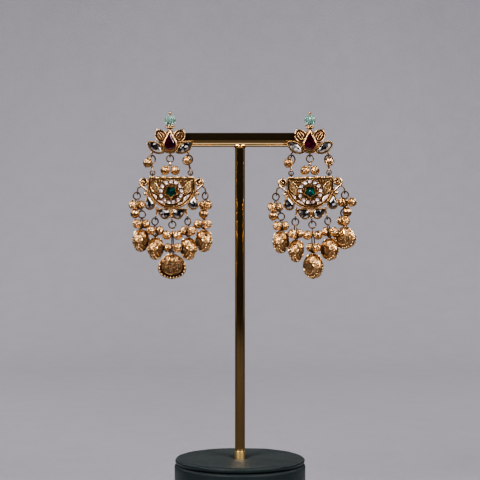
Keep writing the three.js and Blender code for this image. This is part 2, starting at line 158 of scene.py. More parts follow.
def mixed(tree, share, a, b, how="MIX"):
    """Colour a changed by colour b, as far as share says."""
    values = (("Factor", share), (6, a), (7, b))
    return put(tree, "Mix", values, data_type="RGBA", blend_type=how).outputs[2]


def grained(tree, scale, detail=3.0, roughness=0.55, place=None):
    """Cloudy noise on the piece's own coordinates. scale is in features to the metre."""
    place = place or put(tree, "TexCoord").outputs["Object"]
    values = (("Vector", place), ("Scale", scale), ("Detail", detail), ("Roughness", roughness))
    return put(tree, "TexNoise", values).outputs["Fac"]


def bumped(tree, strength, depth, height):
    """The normal of a surface that stands up and sinks by depth, in metres, as height says."""
    values = (("Strength", strength), ("Distance", depth), ("Height", height))
    return put(tree, "Bump", values).outputs["Normal"]


def new_material(name):
    """A material with its node tree and its shader."""
    material = bpy.data.materials.new(name)
    material.use_nodes = True
    return material, material.node_tree, material.node_tree.nodes["Principled BSDF"]


def shaded(tree, shader, patterns, numbers=()):
    """Joins what changes over the surface to the shader, and sets what is the same all over."""
    for name, socket in patterns:
        tree.links.new(socket, shader.inputs[name])
    for name, number in numbers:
        shader.inputs[name].default_value = number


def new_group(name, inputs, outputs):
    """An empty node group, with its input and output nodes."""
    group = bpy.data.node_groups.new(name, "ShaderNodeTree")
    for label, kind in inputs:
        group.interface.new_socket(name=label, in_out="INPUT", socket_type="NodeSocket" + kind)
    for label, kind in outputs:
        group.interface.new_socket(name=label, in_out="OUTPUT", socket_type="NodeSocket" + kind)
    return group, group.nodes.new("NodeGroupInput"), group.nodes.new("NodeGroupOutput")


def settled_dust():
    """Dust that lies on what faces up, and faint marks of handling everywhere."""
    inputs = (("Amount", "Float"), ("Mark Scale", "Float"))
    outputs = (("Dust", "Float"), ("Marks", "Float"))
    group, given, out = new_group("settled dust", inputs, outputs)
    normal = put(group, "NewGeometry").outputs["Normal"]
    up = put(group, "SeparateXYZ", (("Vector", normal),)).outputs["Z"]
    fine = ranged(group, grained(group, 1400, 4), 0.42, 0.62)
    lying = sums(group, "MULTIPLY", ranged(group, up, 0.35, 0.95), fine)
    group.links.new(sums(group, "MULTIPLY", lying, given.outputs["Amount"]), out.inputs["Dust"])
    place = put(group, "TexCoord").outputs["Object"]
    values = (("Vector", place), ("Scale", given.outputs["Mark Scale"]), ("Detail", 5.0))
    cloud = put(group, "TexNoise", values).outputs["Fac"]
    group.links.new(ranged(group, cloud, 0.45, 0.7), out.inputs["Marks"])
    return group


def leatherette_material(dust):
    """Coated cloth: a pebbled grain, darker in its furrows, that shines a little where rubbed."""
    material, tree, shader = new_material("green leatherette")
    place = put(tree, "TexCoord").outputs["Object"]
    pebbles = put(
        tree, "TexVoronoi", (("Vector", place), ("Scale", 1150.0), ("Randomness", 0.9)),
        feature="DISTANCE_TO_EDGE",
    ).outputs["Distance"]
    furrow = ranged(tree, pebbles, 0.0, 0.16)
    cloud = grained(tree, 55, 4)
    fine = grained(tree, 4200, 2)
    faded = ranged(tree, cloud, 0.3, 0.7)
    tone = mixed(tree, faded, (0.007, 0.017, 0.021, 1), (0.012, 0.027, 0.032, 1))
    tone = mixed(tree, furrow, (0.004, 0.009, 0.010, 1), tone)
    specks = put(tree, "Group", (("Amount", 0.4), ("Mark Scale", 90.0)), node_tree=dust)
    colour = mixed(tree, specks.outputs["Dust"], tone, (0.045, 0.052, 0.057, 1))
    shine = ranged(tree, specks.outputs["Marks"], 0, 1, 0.46, 0.58)
    shine = sums(tree, "ADD", shine, ranged(tree, fine, 0, 1, -0.04, 0.06))
    height = sums(tree, "ADD", furrow, sums(tree, "MULTIPLY", fine, 0.25))
    normal = bumped(tree, 0.35, 0.00012, height)
    patterns = (("Base Color", colour), ("Roughness", shine), ("Normal", normal))
    shaded(tree, shader, patterns, (("Specular IOR Level", 0.42), ("Sheen Weight", 0.06)))
    return material


def felt_material():
    """Pressed black felt: matted hairs with a soft edge."""
    material, tree, shader = new_material("black felt")
    hairs = grained(tree, 3000, 5, 0.7)
    colour = mixed(tree, hairs, (0.008, 0.009, 0.009, 1), (0.035, 0.037, 0.036, 1))
    patterns = (("Base Color", colour), ("Normal", bumped(tree, 0.6, 0.0002, hairs)))
    shaded(tree, shader, patterns, (("Roughness", 0.95), ("Sheen Weight", 0.4)))
    return material


dust_group = settled_dust()
leatherette = leatherette_material(dust_group)
felt = felt_material()

wall = [(drum_radius, height) for height in even(2, drum_height - 2.5, 12)]
low_corner = (drum_radius - drum_bottom_round, drum_bottom_round)
top_corner = (drum_radius - drum_top_round, drum_height - drum_top_round)
drum = turned(
    [(0, foot_recess), (drum_radius - foot_rim - 0.1, foot_recess), (drum_radius - foot_rim, 0)]
    + arc(low_corner, drum_bottom_round, -90, 0, 5)
    + wall
    + arc(top_corner, drum_top_round, 0, 90, 6)
    + [(drum_radius - 6, drum_height), (0, drum_height)],
    steps=144,
)
for vert in drum.verts:
    flat = Vector((vert.co.x, vert.co.y, 0))
    if flat.length > drum_radius - 1 and vert.co.z > 1:
        # The sheet isn't quite even, and at the back its end lies over its beginning.
        waves = 0.12 * noise.noise(vert.co * 0.09) - 0.06
        from_back = math.atan2(vert.co.x, vert.co.y) * drum_radius
        over = joint_rise if 0 < from_back < joint_width else 0
        vert.co += flat.normalized() * (waves + over)
felt_radius = drum_radius - foot_rim - 0.2
felt_top = foot_recess + 0.01
felt_disc = turned(
    [(0, felt_top), (0, 0.02), (felt_radius - 0.2, 0.02), (felt_radius, felt_top), (0, felt_top)]
)
fitted(
    finished("drum_cover", [(drum, leatherette), (felt_disc, felt)]),
    "stand", "leatherette", "base_drum",
)

# ------------------------------------------------------------------------------- base lid
# A padded disc in the same leatherette, pulled over its rim and glued under it. The pad dips
# where the post goes through, and the joint in the rim shows as a small pinch at the front.
lid_low, lid_high = (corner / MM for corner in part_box("base_lid"))
lid_radius = lid_high.x
lid_round = (lid_high.z - lid_low.z) / 2
pad_rise = 0.35  # of the crown above the rim
dimple_depth, dimple_reach = 0.75, 2.4  # where the pad is drawn down round the post
post_hole = 2.6
lid_rim_start = 0.93  # as a share of the radius
pinch_side = 17  # degrees from the front
pinch_width = 1.5

edge_centre = (lid_radius - lid_round, lid_low.z + lid_round)
crown = []
for radius in even(edge_centre[0], post_hole + 0.5, 22):
    share = (radius - post_hole) / (edge_centre[0] - post_hole)
    swell = pad_rise * math.sin(min(share * 1.25, 1) * math.pi) ** 0.8
    dimple = dimple_depth * math.exp(-(((radius - post_hole) / dimple_reach) ** 2))
    crown.append((radius, lid_high.z + swell - dimple))
underside = [(post_hole, lid_low.z), (edge_centre[0], lid_low.z)]
lid = turned(
    underside
    + arc(edge_centre, lid_round, -78, 78, 10)
    + crown
    + [(post_hole, lid_high.z - 1.1), (post_hole, lid_low.z)],
    steps=160,
)
for vert in lid.verts:
    flat = Vector((vert.co.x, vert.co.y, 0))
    if flat.length > post_hole + 1:
        away = flat.length / lid_radius
        angle = math.atan2(flat.x, -flat.y) / DEG
        rim = max(0, (away - lid_rim_start) / (1 - lid_rim_start))
        puckers = 0.10 * rim * noise.noise(Vector((angle * 0.16, 0, vert.co.z * 0.3)))
        along = (angle - pinch_side) * DEG * lid_radius
        pinch = 0.42 * math.exp(-((along / pinch_width) ** 2))
        pinch -= 0.75 * math.exp(-(((along - 0.4) / 0.55) ** 2))
        outward = puckers + rim * pinch * 0.8
        upward = 0.18 * noise.noise(vert.co * 0.11) * away + 0.25 * rim * pinch
        vert.co += flat.normalized() * outward + Vector((0, 0, upward))
fitted(finished("lid_cover", [(lid, leatherette)]), "stand", "leatherette", "base_lid")

# ------------------------------------------------------------------------- post of the stand
# A polished gold-lacquered tube. It stands in a socket in the base, with a short brushed
# ferrule at the lid, and its upper end is brazed up into the crossbar.
post_low, post_high = (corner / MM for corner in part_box("stand_post"))
post_radius = post_high.x
bar_low, bar_high = (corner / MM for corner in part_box("stand_crossbar"))
bar_height = (bar_low.z + bar_high.z) / 2
bar_radius = (bar_high.z - bar_low.z) / 2
ferrule_top = lid_high.z + 3.4
fillet = 0.55  # of braze under the crossbar


def polished_gold_material(dust):
    """Lacquered brass with a mirror polish, hairline marks along it and faint fingerprints."""
    material, tree, shader = new_material("polished gold lacquer")
    place = put(tree, "TexCoord").outputs["Object"]
    marks = put(tree, "Group", (("Amount", 0.35), ("Mark Scale", 160.0)), node_tree=dust)
    cloud = grained(tree, 30, 3)
    tone = mixed(tree, cloud, (0.84, 0.58, 0.28, 1), (0.93, 0.68, 0.37, 1))
    tone = mixed(tree, marks.outputs["Dust"], tone, (0.55, 0.50, 0.44, 1))
    stretched = put(tree, "Mapping", (("Vector", place), ("Scale", (0.12, 1.0, 0.12)))).outputs[0]
    hairlines = grained(tree, 9000, 2, 0.5, stretched)
    rough = ranged(tree, marks.outputs["Marks"], 0, 1, 0.04, 0.08)
    rough = sums(tree, "ADD", rough, ranged(tree, hairlines, 0.4, 0.7, 0, 0.03))
    normal = bumped(tree, 0.05, 0.00004, hairlines)
    patterns = (("Base Color", tone), ("Roughness", rough), ("Normal", normal))
    lacquer = (("Metallic", 0.985), ("Coat Weight", 0.3), ("Coat Roughness", 0.06))
    shaded(tree, shader, patterns, lacquer)
    return material


def brushed_gold_material(dust):
    """The ferrule: brass brushed round its axis, so that it catches light from all sides."""
    material, tree, shader = new_material("brushed gold ferrule")
    place = put(tree, "TexCoord").outputs["Object"]
    stretched = put(tree, "Mapping", (("Vector", place), ("Scale", (0.1, 0.1, 1.0)))).outputs[0]
    lines = grained(tree, 12000, 3, 0.6, stretched)
    marks = put(tree, "Group", (("Amount", 0.6), ("Mark Scale", 300.0)), node_tree=dust)
    tone = mixed(tree, lines, (0.78, 0.54, 0.24, 1), (0.95, 0.74, 0.40, 1))
    tone = mixed(tree, marks.outputs["Marks"], tone, (0.62, 0.42, 0.18, 1))
    rough = ranged(tree, lines, 0.2, 0.8, 0.32, 0.5)
    normal = bumped(tree, 0.2, 0.00005, lines)
    patterns = (("Base Color", tone), ("Roughness", rough), ("Normal", normal))
    shaded(tree, shader, patterns, (("Metallic", 1.0),))
    return material


polished_gold = polished_gold_material(dust_group)
brushed_gold = brushed_gold_material(dust_group)

post = turned(
    [(0, post_low.z), (post_radius, post_low.z)]
    + [(post_radius, height) for height in even(post_low.z + 1, post_high.z - bar_radius - 1.2, 8)]
    + arc((post_radius + fillet, bar_low.z - 0.9), fillet, 180, 90, 5)
    + [(post_radius * 0.8, bar_low.z + 0.3), (post_radius * 0.6, bar_height), (0, bar_height)],
    steps=48,
)
ferrule_bottom = lid_high.z - 1.0
ferrule = turned(
    [(post_radius - 0.05, ferrule_bottom), (post_radius + 0.22, ferrule_bottom)]
    + arc((post_radius + 0.1, ferrule_top - 0.12), 0.12, 0, 90, 3)
    + [(post_radius - 0.05, ferrule_top), (post_radius - 0.05, ferrule_bottom)],
    steps=48,
)
fitted(
    finished("post_tube", [(post, polished_gold), (ferrule, brushed_gold)]),
    "stand", "polished_gold", "stand_post",
)

# --------------------------------------------------------------------------------- crossbar
# The same tube, laid level and closed with flat caps that are turned over at the rim. The ear
# posts go through it near its ends, and each comes out behind through a rolled lip.
swing = {joint["child"]: Vector(joint["pos_m"]) / MM for joint in frame["joints"]}
bar_length = bar_high.x - bar_low.x
cap_round = 0.35
hole_radius = 0.85
lip = 0.18  # half the thickness of the roll round each hole
ear_post_places = [place.x for place in swing.values()]
backward = Matrix.Rotation(-90 * DEG, 4, "X")  # lays what was turned upright along the ear post

half = bar_length / 2
bar = turned(
    [(0, -half), (bar_radius - 0.9, -half), (bar_radius - 0.7, 0.12 - half)]
    + arc((bar_radius - cap_round, cap_round - half), cap_round, -90, 0, 4)
    + [(bar_radius, along) for along in even(1 - half, half - 1, 10)]
    + arc((bar_radius - cap_round, half - cap_round), cap_round, 0, 90, 4)
    + [(bar_radius - 0.7, half - 0.12), (bar_radius - 0.9, half), (0, half)],
    steps=64,
)
laid_level = Matrix.Translation((0, 0, bar_height)) @ Matrix.Rotation(90 * DEG, 4, "Y")
bmesh.ops.transform(bar, matrix=laid_level, verts=bar.verts)
bar_parts = [(bar, polished_gold)]
for x in ear_post_places:
    eyelet = turned(
        [(hole_radius, -0.5), (hole_radius + 2 * lip, -0.5)]
        + arc((hole_radius + lip, 0.1), lip, 0, 180, 6)
        + [(hole_radius, -0.5)],
        steps=28,
    )
    to_back = Matrix.Translation((x, bar_radius - 0.12, bar_height)) @ backward
    bmesh.ops.transform(eyelet, matrix=to_back, verts=eyelet.verts)
    bar_parts.append((eyelet, brushed_gold))
fitted(finished("crossbar_tube", bar_parts), "stand", "polished_gold", "stand_crossbar")

# ------------------------------------------------------------------------------ lotus studs
# Each stud is cut from antique gold sheet: a round base with two engraved petals, two leaf
# settings and the ruby's tall collet soldered over it. A beaded collar stands on top, three
# loops hang below, and the ear post runs back through the crossbar.
stud_back = -1.1  # heights on the bench: the face of the work looks up along Z, and y is up
stud_face = -0.1
stud_middle = (stud_back + stud_face) / 2
stud_loops = (-9.2, 0.0, 9.2)
base_radius = 5.6
base_seat = {"x": 0.0, "y": 6.4, "lean": 0}
ruby_size = (3.5, 7.1)  # radius of the round end, and how far the point is from its middle
ruby_seat = {"x": 0.0, "y": 5.3, "lean": 0}
leaf_size = (9.6, 4.9)  # length and width
leaf_seat = {"x": 7.2, "y": 3.75, "lean": 57}
petal_size = (7.2, 5.8)
petal_seat = {"x": 4.6, "y": 9.5, "lean": 33}
rim_granule, rim_pitch = 0.25, 0.52  # of the beading round the settings
collar_bottom, collar_top = 13.3, 14.9
collar_beads = 13
loop_radius, loop_wire = 0.95, 0.3
ear_post_radius, ear_post_length = 0.45, 9.9
bench = {"x": 0.0, "y": 0.0, "lean": 0}


def antique_wear():
    """Old gold: brown patina in the crevices and wherever it was left, with painted shade where the
    mesh carries it, bright rubbed edges, and a hand-worked skin."""
    inputs = (("Gold", "Color"), ("Patina", "Color"), ("Crevice", "Float"), ("Blackening", "Float"))
    outputs = (("Color", "Color"), ("Roughness", "Float"), ("Metal", "Float"), ("Height", "Float"))
    group, given, out = new_group("antique wear", inputs, outputs)
    cloud = grained(group, 420, 4)
    fine = grained(group, 2600, 3, 0.6)
    hollow = put(group, "AmbientOcclusion", (("Distance", given.outputs["Crevice"]),), samples=6)
    deep = ranged(group, hollow.outputs["AO"], 0.36, 0.88, 1, 0)
    deep = sums(group, "MULTIPLY", deep, ranged(group, fine, 0.25, 0.6, 0.65, 1))
    left = sums(group, "ADD", cloud, given.outputs["Blackening"])
    stain = ranged(group, left, 0.62, 0.80)
    # The black painted into the mesh goes into the darkening here: blackening in the work's hollows, and
    # on the puffed drops painted shade as well.
    soot_and_shade = put(group, "Attribute", attribute_name="soot_and_shade").outputs["Fac"]
    soot_and_shade = sums(group, "MULTIPLY", soot_and_shade, ranged(group, fine, 0.2, 0.5, 0.75, 1))
    deep = sums(group, "MAXIMUM", deep, soot_and_shade)
    point = put(group, "NewGeometry").outputs["Pointiness"]
    furrow = sums(group, "MULTIPLY", ranged(group, point, 0.43, 0.485, 1, 0), 0.9)
    # The darkening is patina in hollows, and on the puffed drops partly painted shade.
    grime_and_shade = sums(group, "MAXIMUM", deep, sums(group, "MULTIPLY", stain, 0.85))
    grime_and_shade = sums(group, "MAXIMUM", grime_and_shade, furrow)
    edge = sums(group, "MULTIPLY", ranged(group, point, 0.52, 0.60), ranged(group, cloud, 0.35, 0.6))
    patches = ranged(group, grained(group, 900, 3, 0.6), 0.38, 0.62)
    tone = mixed(group, patches, given.outputs["Gold"], (0.72, 0.58, 0.46, 1), "MULTIPLY")
    worn = mixed(group, sums(group, "MULTIPLY", edge, 0.6), tone, (1.0, 0.76, 0.48, 1))
    colour = mixed(group, grime_and_shade, worn, given.outputs["Patina"])
    group.links.new(colour, out.inputs["Color"])
    rough = ranged(group, fine, 0.3, 0.7, 0.18, 0.33)
    rough = sums(group, "ADD", rough, sums(group, "MULTIPLY", grime_and_shade, 0.3))
    rough = sums(group, "SUBTRACT", rough, sums(group, "MULTIPLY", edge, 0.08))
    group.links.new(rough, out.inputs["Roughness"])
    metal = sums(group, "SUBTRACT", 1.0, sums(group, "MULTIPLY", grime_and_shade, 0.55))
    group.links.new(metal, out.inputs["Metal"])
    place = put(group, "TexCoord").outputs["Object"]
    values = (("Vector", place), ("Scale", 1100.0))
    dents = put(group, "TexVoronoi", values, feature="SMOOTH_F1").outputs["Distance"]
    dents = sums(group, "MULTIPLY", dents, 0.7)
    height = sums(group, "ADD", dents, sums(group, "MULTIPLY", fine, 0.5))
    group.links.new(height, out.inputs["Height"])
    return group


def antique_material(name, wear, gold, patina, crevice, blackening, hammer):
    """A gold finish from the wear group. crevice is in mm, and hammer is how uneven the skin is."""
    material, tree, shader = new_material(name)
    values = (("Gold", gold), ("Patina", patina), ("Crevice", crevice * MM), ("Blackening", blackening))
    look = put(tree, "Group", values, node_tree=wear).outputs
    shaded(tree, shader, (
        ("Base Color", look["Color"]), ("Roughness", look["Roughness"]), ("Metallic", look["Metal"]),
        ("Normal", bumped(tree, hammer, 0.0004, look["Height"])),
    ))
    return material


wear_group = antique_wear()
old_gold, worn_gold, dark_gold, bright_gold, dark_wire = (
    antique_material(name, wear_group, (*gold, 1), (*patina, 1), *wear)
    for name, gold, patina, wear in (
        ("antique gold", (0.91, 0.63, 0.37), (0.050, 0.011, 0.003), (1.4, 0.03, 0.55)),
        ("gold of the plate", (0.58, 0.36, 0.18), (0.036, 0.009, 0.003), (1.8, 0.12, 0.55)),
        ("gold gone dark", (0.38, 0.21, 0.10), (0.024, 0.007, 0.003), (1.9, 0.18, 0.5)),
        ("rubbed gold of the rims", (0.96, 0.70, 0.40), (0.060, 0.018, 0.006), (0.8, -0.04, 0.18)),
        ("blackened gold wire", (0.35, 0.22, 0.13), (0.018, 0.009, 0.005), (0.7, 0.32, 0.2)),
    )
)


def drop_outline(radius, tip):
    """A teardrop about 0, 0 with its point up at tip. The result gives it so far in from the edge."""

    def outline(inward, steps=26):
        smaller = radius - inward
        point = tip * smaller / radius
        tangent = math.acos(smaller / point) / DEG
        return [(0, point)] + arc((0, 0), smaller, 90 + tangent, 450 - tangent, steps)

    return outline


def leaf_outline(length, width):
    """Two arcs that meet in a point above and below. The result gives it so far in from the edge."""

    def outline(inward, steps=14):
        long, wide = length - 2.6 * inward, width - 2 * inward
        radius = (long**2 + wide**2) / (4 * wide)
        half = math.asin(long / 2 / radius) / DEG
        middle = radius - wide / 2
        right = arc((-middle, 0), radius, -half, half, steps)
        left = arc((middle, 0), radius, 180 - half, 180 + half, steps)
        return right[:-1] + left[:-1]

    return outline


def round_outline(radius):
    """A circle about 0, 0. The result gives it so far in from the edge."""

    def outline(inward, steps=40):
        return arc((0, 0), radius - inward, 0, 360, steps)[:-1]

    return outline


def mirrored(seat):
    """The same seat on the earring's other side."""
    return {**seat, "x": -seat["x"], "lean": -seat["lean"]}


def seated(points, seat, height):
    """An outline at its place and lean, so high above the bench."""
    turn = Matrix.Rotation(-seat["lean"] * DEG, 2)
    middle = Vector((seat["x"], seat["y"]))
    return [Vector((*(turn @ Vector(point) + middle), height)) for point in points]


def built_up(outline, seat, layers, **how):
    """A solid raised from an outline. Each layer is (in from the edge, height)."""
    bm = bmesh.new()
    cap = None
    for inward, height in layers:
        points = seated(outline(inward, **how), seat, height)
        if cap is None:
            cap = bm.faces.new([bm.verts.new(point) for point in points])
            continue
        below = cap
        made = bmesh.ops.extrude_face_region(bm, geom=[below])["geom"]
        cap = next(item for item in made if isinstance(item, bmesh.types.BMFace))
        if (inward, height) != layers[1]:
            bmesh.ops.delete(bm, geom=[below], context="FACES_ONLY")
        for vert, point in zip(cap.verts, points):
            vert.co = point
    bmesh.ops.recalc_face_normals(bm, faces=bm.faces)
    return bm


def wire(points, radius, sides=8, closed=False, end=1.0):
    """Wire bent along a line of points. end is its last radius as a share of its first."""
    path = [Vector(point) for point in points]
    count = len(path)

    def heading(i):
        before = path[i - 1] if closed or i else path[0]
        after = path[(i + 1) % count] if closed or i < count - 1 else path[-1]
        return (after - before).normalized()

    bm = bmesh.new()
    start = Matrix.LocRotScale(path[0], heading(0).to_track_quat("Z", "Y"), None)
    bmesh.ops.create_circle(bm, cap_ends=not closed, segments=sides, radius=radius, matrix=start)
    first = edges = bm.edges[:]
    for i in range(1, count):
        made = bmesh.ops.extrude_edge_only(bm, edges=edges)["geom"]
        verts = [item for item in made if isinstance(item, bmesh.types.BMVert)]
        edges = [item for item in made if isinstance(item, bmesh.types.BMEdge)]
        shrink = (1 + (end - 1) * i / (count - 1)) / (1 + (end - 1) * (i - 1) / (count - 1))
        bend = heading(i - 1).rotation_difference(heading(i)).to_matrix().to_4x4()
        carry = Matrix.Translation(path[i]) @ bend @ Matrix.Scale(shrink, 4)
        bmesh.ops.transform(bm, matrix=carry @ Matrix.Translation(-path[i - 1]), verts=verts)
    if closed:
        bmesh.ops.bridge_loops(bm, edges=first + edges)
    else:
        bmesh.ops.contextual_create(bm, geom=edges)
    bmesh.ops.recalc_face_normals(bm, faces=bm.faces)
    return bm


def ring(radius, thickness, centre, turn=0, opening=0, segments=32):
    """A ring of round wire that faces front, turned about the vertical. A jump ring has a cut of
    so many degrees, which is at its lower right."""
    bm = bmesh.new()
    section = Matrix.Translation((radius, 0, 0)) @ Matrix.Rotation(90 * DEG, 4, "X")
    cut = opening > 0
    bmesh.ops.create_circle(bm, cap_ends=cut, segments=9, radius=thickness, matrix=section)
    geom = bm.verts[:] + bm.edges[:] + bm.faces[:]
    bmesh.ops.spin(
        bm, geom=geom, cent=(0, 0, 0), axis=(0, 0, 1), angle=(360 - opening) * DEG,
        steps=segments, use_merge=not cut,
    )
    bmesh.ops.recalc_face_normals(bm, faces=bm.faces)
    stand = Matrix.Rotation(turn * DEG, 4, "Z") @ Matrix.Rotation(90 * DEG, 4, "X")
    spun = Matrix.Rotation((opening / 2 - 35) * DEG if cut else 0, 4, "Z")
    bmesh.ops.transform(bm, matrix=Matrix.Translation(centre) @ stand @ spun, verts=bm.verts)
    return bm


def granules(places, radius, detail=2):
    """Small balls of gold, soldered on one by one."""
    bm = bmesh.new()
    for place in places:
        spot = Matrix.Translation(place)
        bmesh.ops.create_icosphere(bm, subdivisions=detail, radius=radius, matrix=spot)
    return bm


def spaced(points, pitch, closed=True):
    """Places evenly along a line of points, about a pitch apart."""
    path = points + points[:1] if closed else points
    lengths = [(b - a).length for a, b in zip(path, path[1:])]
    count = max(2, round(sum(lengths) / pitch))
    step = sum(lengths) / count
    places, along, travelled = [], 0.0, 0.0
    for (a, b), length in zip(zip(path, path[1:]), lengths):
        while along <= travelled + length + 1e-9 and len(places) < count + (not closed):
            places.append(a.lerp(b, (along - travelled) / length if length else 0))
            along += step
        travelled += length
    return places


def upright(bm):
    """Takes what was made face up on the bench and stands it up to face the front."""
    bmesh.ops.rotate(bm, verts=bm.verts, cent=(0, 0, 0), matrix=Matrix.Rotation(90 * DEG, 3, "X"))
    return bm


def soldered_loop(x, y):
    """A closed loop seen edge-on."""
    return ring(loop_radius, loop_wire, (x, 0, y), 90, segments=24)


def engraved_petal(seat):
    """A domed petal in a rim of wire, with three raised veins and a granule on its tip."""
    petal = leaf_outline(*petal_size)
    at = Vector((seat["x"], seat["y"], 0))
    turn = Matrix.Rotation(-seat["lean"] * DEG, 3, "Z")
    dome = [(0.15, stud_back), (0, -0.9), (0, 0.1), (0.15, 0.4), (0.42, 0.45), (0.55, 0.15)]
    dome += [(0.8, 0.1), (0.95, 0.34), (1.4, 0.55), (1.9, 0.66), (2.3, 0.7)]
    dish = built_up(petal, seat, dome)
    soot_and_shade = dish.verts.layers.float.new("soot_and_shade")
    for vert in dish.verts:
        vert[soot_and_shade] = 0.9 if 0.05 < vert.co.z < 0.2 or vert.co.z > 0.5 else 0.0
    parts = [(dish, dark_gold)]
    parts.append((wire(seated(petal(0.22), seat, 0.4), 0.24, 7, closed=True), worn_gold))
    for across in (-0.55, 0, 0.55):
        vein = []
        for t in even(-0.27, 0.27, 8):
            x = across * 2.25 * (1 - (2.6 * t) ** 2)
            rise = 0.68 - 0.35 * across**2 - 0.9 * t**2
            vein.append(turn @ Vector((x, t * petal_size[0], rise)) + at)
        parts.append((wire(vein, 0.15, 6), worn_gold))
    parts.append((granules([turn @ Vector((0, 3.75, 0.2)) + at], 0.5), old_gold))
    return parts


def stud_parts():
    """The whole of a stud's metal. What faces front is made flat on the bench, then stood up."""
    leaf = leaf_outline(*leaf_size)
    drop = drop_outline(*ruby_size)
    sheet = [(0.2, stud_back), (0, -0.9), (0, -0.3), (0.2, stud_face)]
    parts = [(built_up(round_outline(base_radius), base_seat, sheet), old_gold)]
    for seat in (petal_seat, mirrored(petal_seat)):
        parts += engraved_petal(seat)
    for seat in (leaf_seat, mirrored(leaf_seat)):
        wall = [(0.12, stud_back), (0, -0.95), (0, 0.75), (0.08, 0.9), (0.22, 0.92), (0.26, 1.15)]
        wall += [(0.34, 1.3), (0.48, 1.3), (0.58, 1.15), (0.62, 0.85), (0.64, stud_face)]
        parts.append((built_up(leaf, seat, wall), bright_gold))
        beading = spaced(seated(leaf(-0.08, steps=20), seat, 0.35), rim_pitch)
        parts.append((granules(beading, rim_granule), old_gold))
    collet = [(0.1, stud_back), (0, -0.9), (0, 0.9), (0.1, 1.25), (0.28, 1.35), (0.33, 1.7)]
    collet += [(0.43, 1.95), (0.58, 2.0), (0.7, 1.85), (0.74, 1.4), (0.76, 0.4)]
    parts.append((built_up(drop, ruby_seat, collet), old_gold))
    beading = spaced(seated(drop(-0.1, steps=40), ruby_seat, 0.55), 0.56)
    parts.append((granules(beading, 0.27), old_gold))
    chin = [Vector((x, 1.25 + 0.10 * x * x, 0.2)) for x in even(-3.6, 3.6, 12)]
    parts.append((wire(chin, 0.42, 8), bright_gold))
    parts.append((granules([(0, 12.0, 0.5), (-0.75, 12.6, 0.1), (0.75, 12.6, 0.1)], 0.5), old_gold))
    for part, _ in parts:
        upright(part)

    middle = Vector((0, -stud_middle, 0))  # of the sheet, once it stands
    neck = turned(
        [(0, 11.2), (1.25, 11.2), (1.05, 12.6), (1.0, collar_bottom), (1.9, collar_bottom + 0.05)]
        + arc((1.95, collar_bottom + 0.33), 0.3, -80, 80, 5)
        + [(1.75, collar_bottom + 0.62), (1.75, collar_top - 0.62)]
        + arc((1.95, collar_top - 0.33), 0.3, -80, 80, 5)
        + [(1.2, collar_top), (0, collar_top)],
        steps=36,
    )
    waist = (collar_bottom + collar_top) / 2
    round_waist = arc((0, 0), 1.85, 0, 360, collar_beads)[:-1]
    beads = granules([(x, y, waist) for x, y in round_waist], 0.33)
    top = pin_top + 0.65
    pin = turned(
        [(0, collar_top - 0.2), (0.33, collar_top - 0.2), (0.33, top - 0.75), (0.62, top - 0.7)]
        + arc((0, top), 0.65, -40, 90, 7),
        steps=20,
    )
    for part, finish in ((neck, old_gold), (beads, bright_gold), (pin, bright_gold)):
        bmesh.ops.translate(part, vec=middle, verts=part.verts)
        parts.append((part, finish))
    radius, length = ear_post_radius, ear_post_length
    shaft = turned(
        [(0, 0), (radius, 0), (radius, length - 0.7), (radius - 0.11, length - 0.55)]
        + [(radius - 0.11, length - 0.3), (radius, length - 0.15)]
        + arc((radius - 0.35, length - 0.35), 0.35, 0, 90, 4)
        + [(0, length)],
        steps=20,
    )
    post_place = Matrix.Translation(middle + Vector((0, 0, bar_height - swing["left_drop"].z)))
    bmesh.ops.transform(shaft, matrix=post_place @ backward, verts=shaft.verts)
    parts.append((shaft, bright_gold))
    for x in stud_loops:
        parts.append((soldered_loop(x, 0), dark_wire))
        stalk = [(x, 0.2, 0.85), (x * 0.94, 0.35, 1.6), (x * 0.88, 0.5, 2.6)]
        parts.append((wire(stalk, 0.5, 10, end=1.2), old_gold))
        parts.append((granules([(x * 0.97, 0.1, 1.35)], 0.5), old_gold))
    return parts


bead_low, bead_high = (corner / MM - swing["left_drop"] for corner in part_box("left_stud_bead"))
pin_top = bead_high.z + 0.6
for side in ("left", "right"):
    stud = finished(f"{side}_stud_metal", stud_parts(), place=Matrix.Translation(swing[f"{side}_drop"]))
    fitted(stud, "stand", "antique_gold", f"{side}_lotus_stud")

# -------------------------------------------------------------------------- stones of the stud
# A dark ruby drop and two clear leaves, cut flat with a row of facets round the table. Each lies
# on polished foil in its setting, held by the metal that is pressed over its edge.
def painted_foil_flashes():
    """Painted light from the foil under a cut stone: bright patches painted into the colour, a few
    of them strong, most of all on the facets that lean down, as the light is from above. They
    also glow a little, a painted glow."""
    inputs = (("Body", "Color"), ("Painted Flash", "Color"), ("Size", "Float"), ("Share", "Float"))
    outputs = (("Color", "Color"), ("Painted Glint", "Color"), ("Ripple", "Float"))
    group, given, out = new_group("painted foil flashes", inputs, outputs)
    surface = put(group, "TexCoord").outputs
    values = (("Vector", surface["Object"]), ("Scale", given.outputs["Size"]))
    cell = put(group, "TexVoronoi", values, feature="F1").outputs
    patch = put(group, "SeparateColor", (("Color", cell["Color"]),)).outputs["Red"]
    rare = sums(group, "DIVIDE", 1.0, given.outputs["Share"])
    lit = sums(group, "POWER", patch, rare)
    # Facets that lean down take more painted light, as if lit through the stone from above.
    lean = put(group, "SeparateXYZ", (("Vector", surface["Normal"]),)).outputs["Z"]
    under = ranged(group, lean, -0.2, -0.55)
    under = sums(group, "MULTIPLY", under, ranged(group, patch, 0.2, 0.8, 0.1, 0.9))
    soft = sums(group, "MAXIMUM", lit, under)
    colour = mixed(group, soft, given.outputs["Body"], given.outputs["Painted Flash"])
    group.links.new(colour, out.inputs["Color"])
    # The painted patches also feed the emission, as painted glints.
    painted_glint = mixed(group, soft, (0, 0, 0, 1), given.outputs["Painted Flash"])
    group.links.new(painted_glint, out.inputs["Painted Glint"])
    group.links.new(grained(group, 900, 2), out.inputs["Ripple"])
    return group


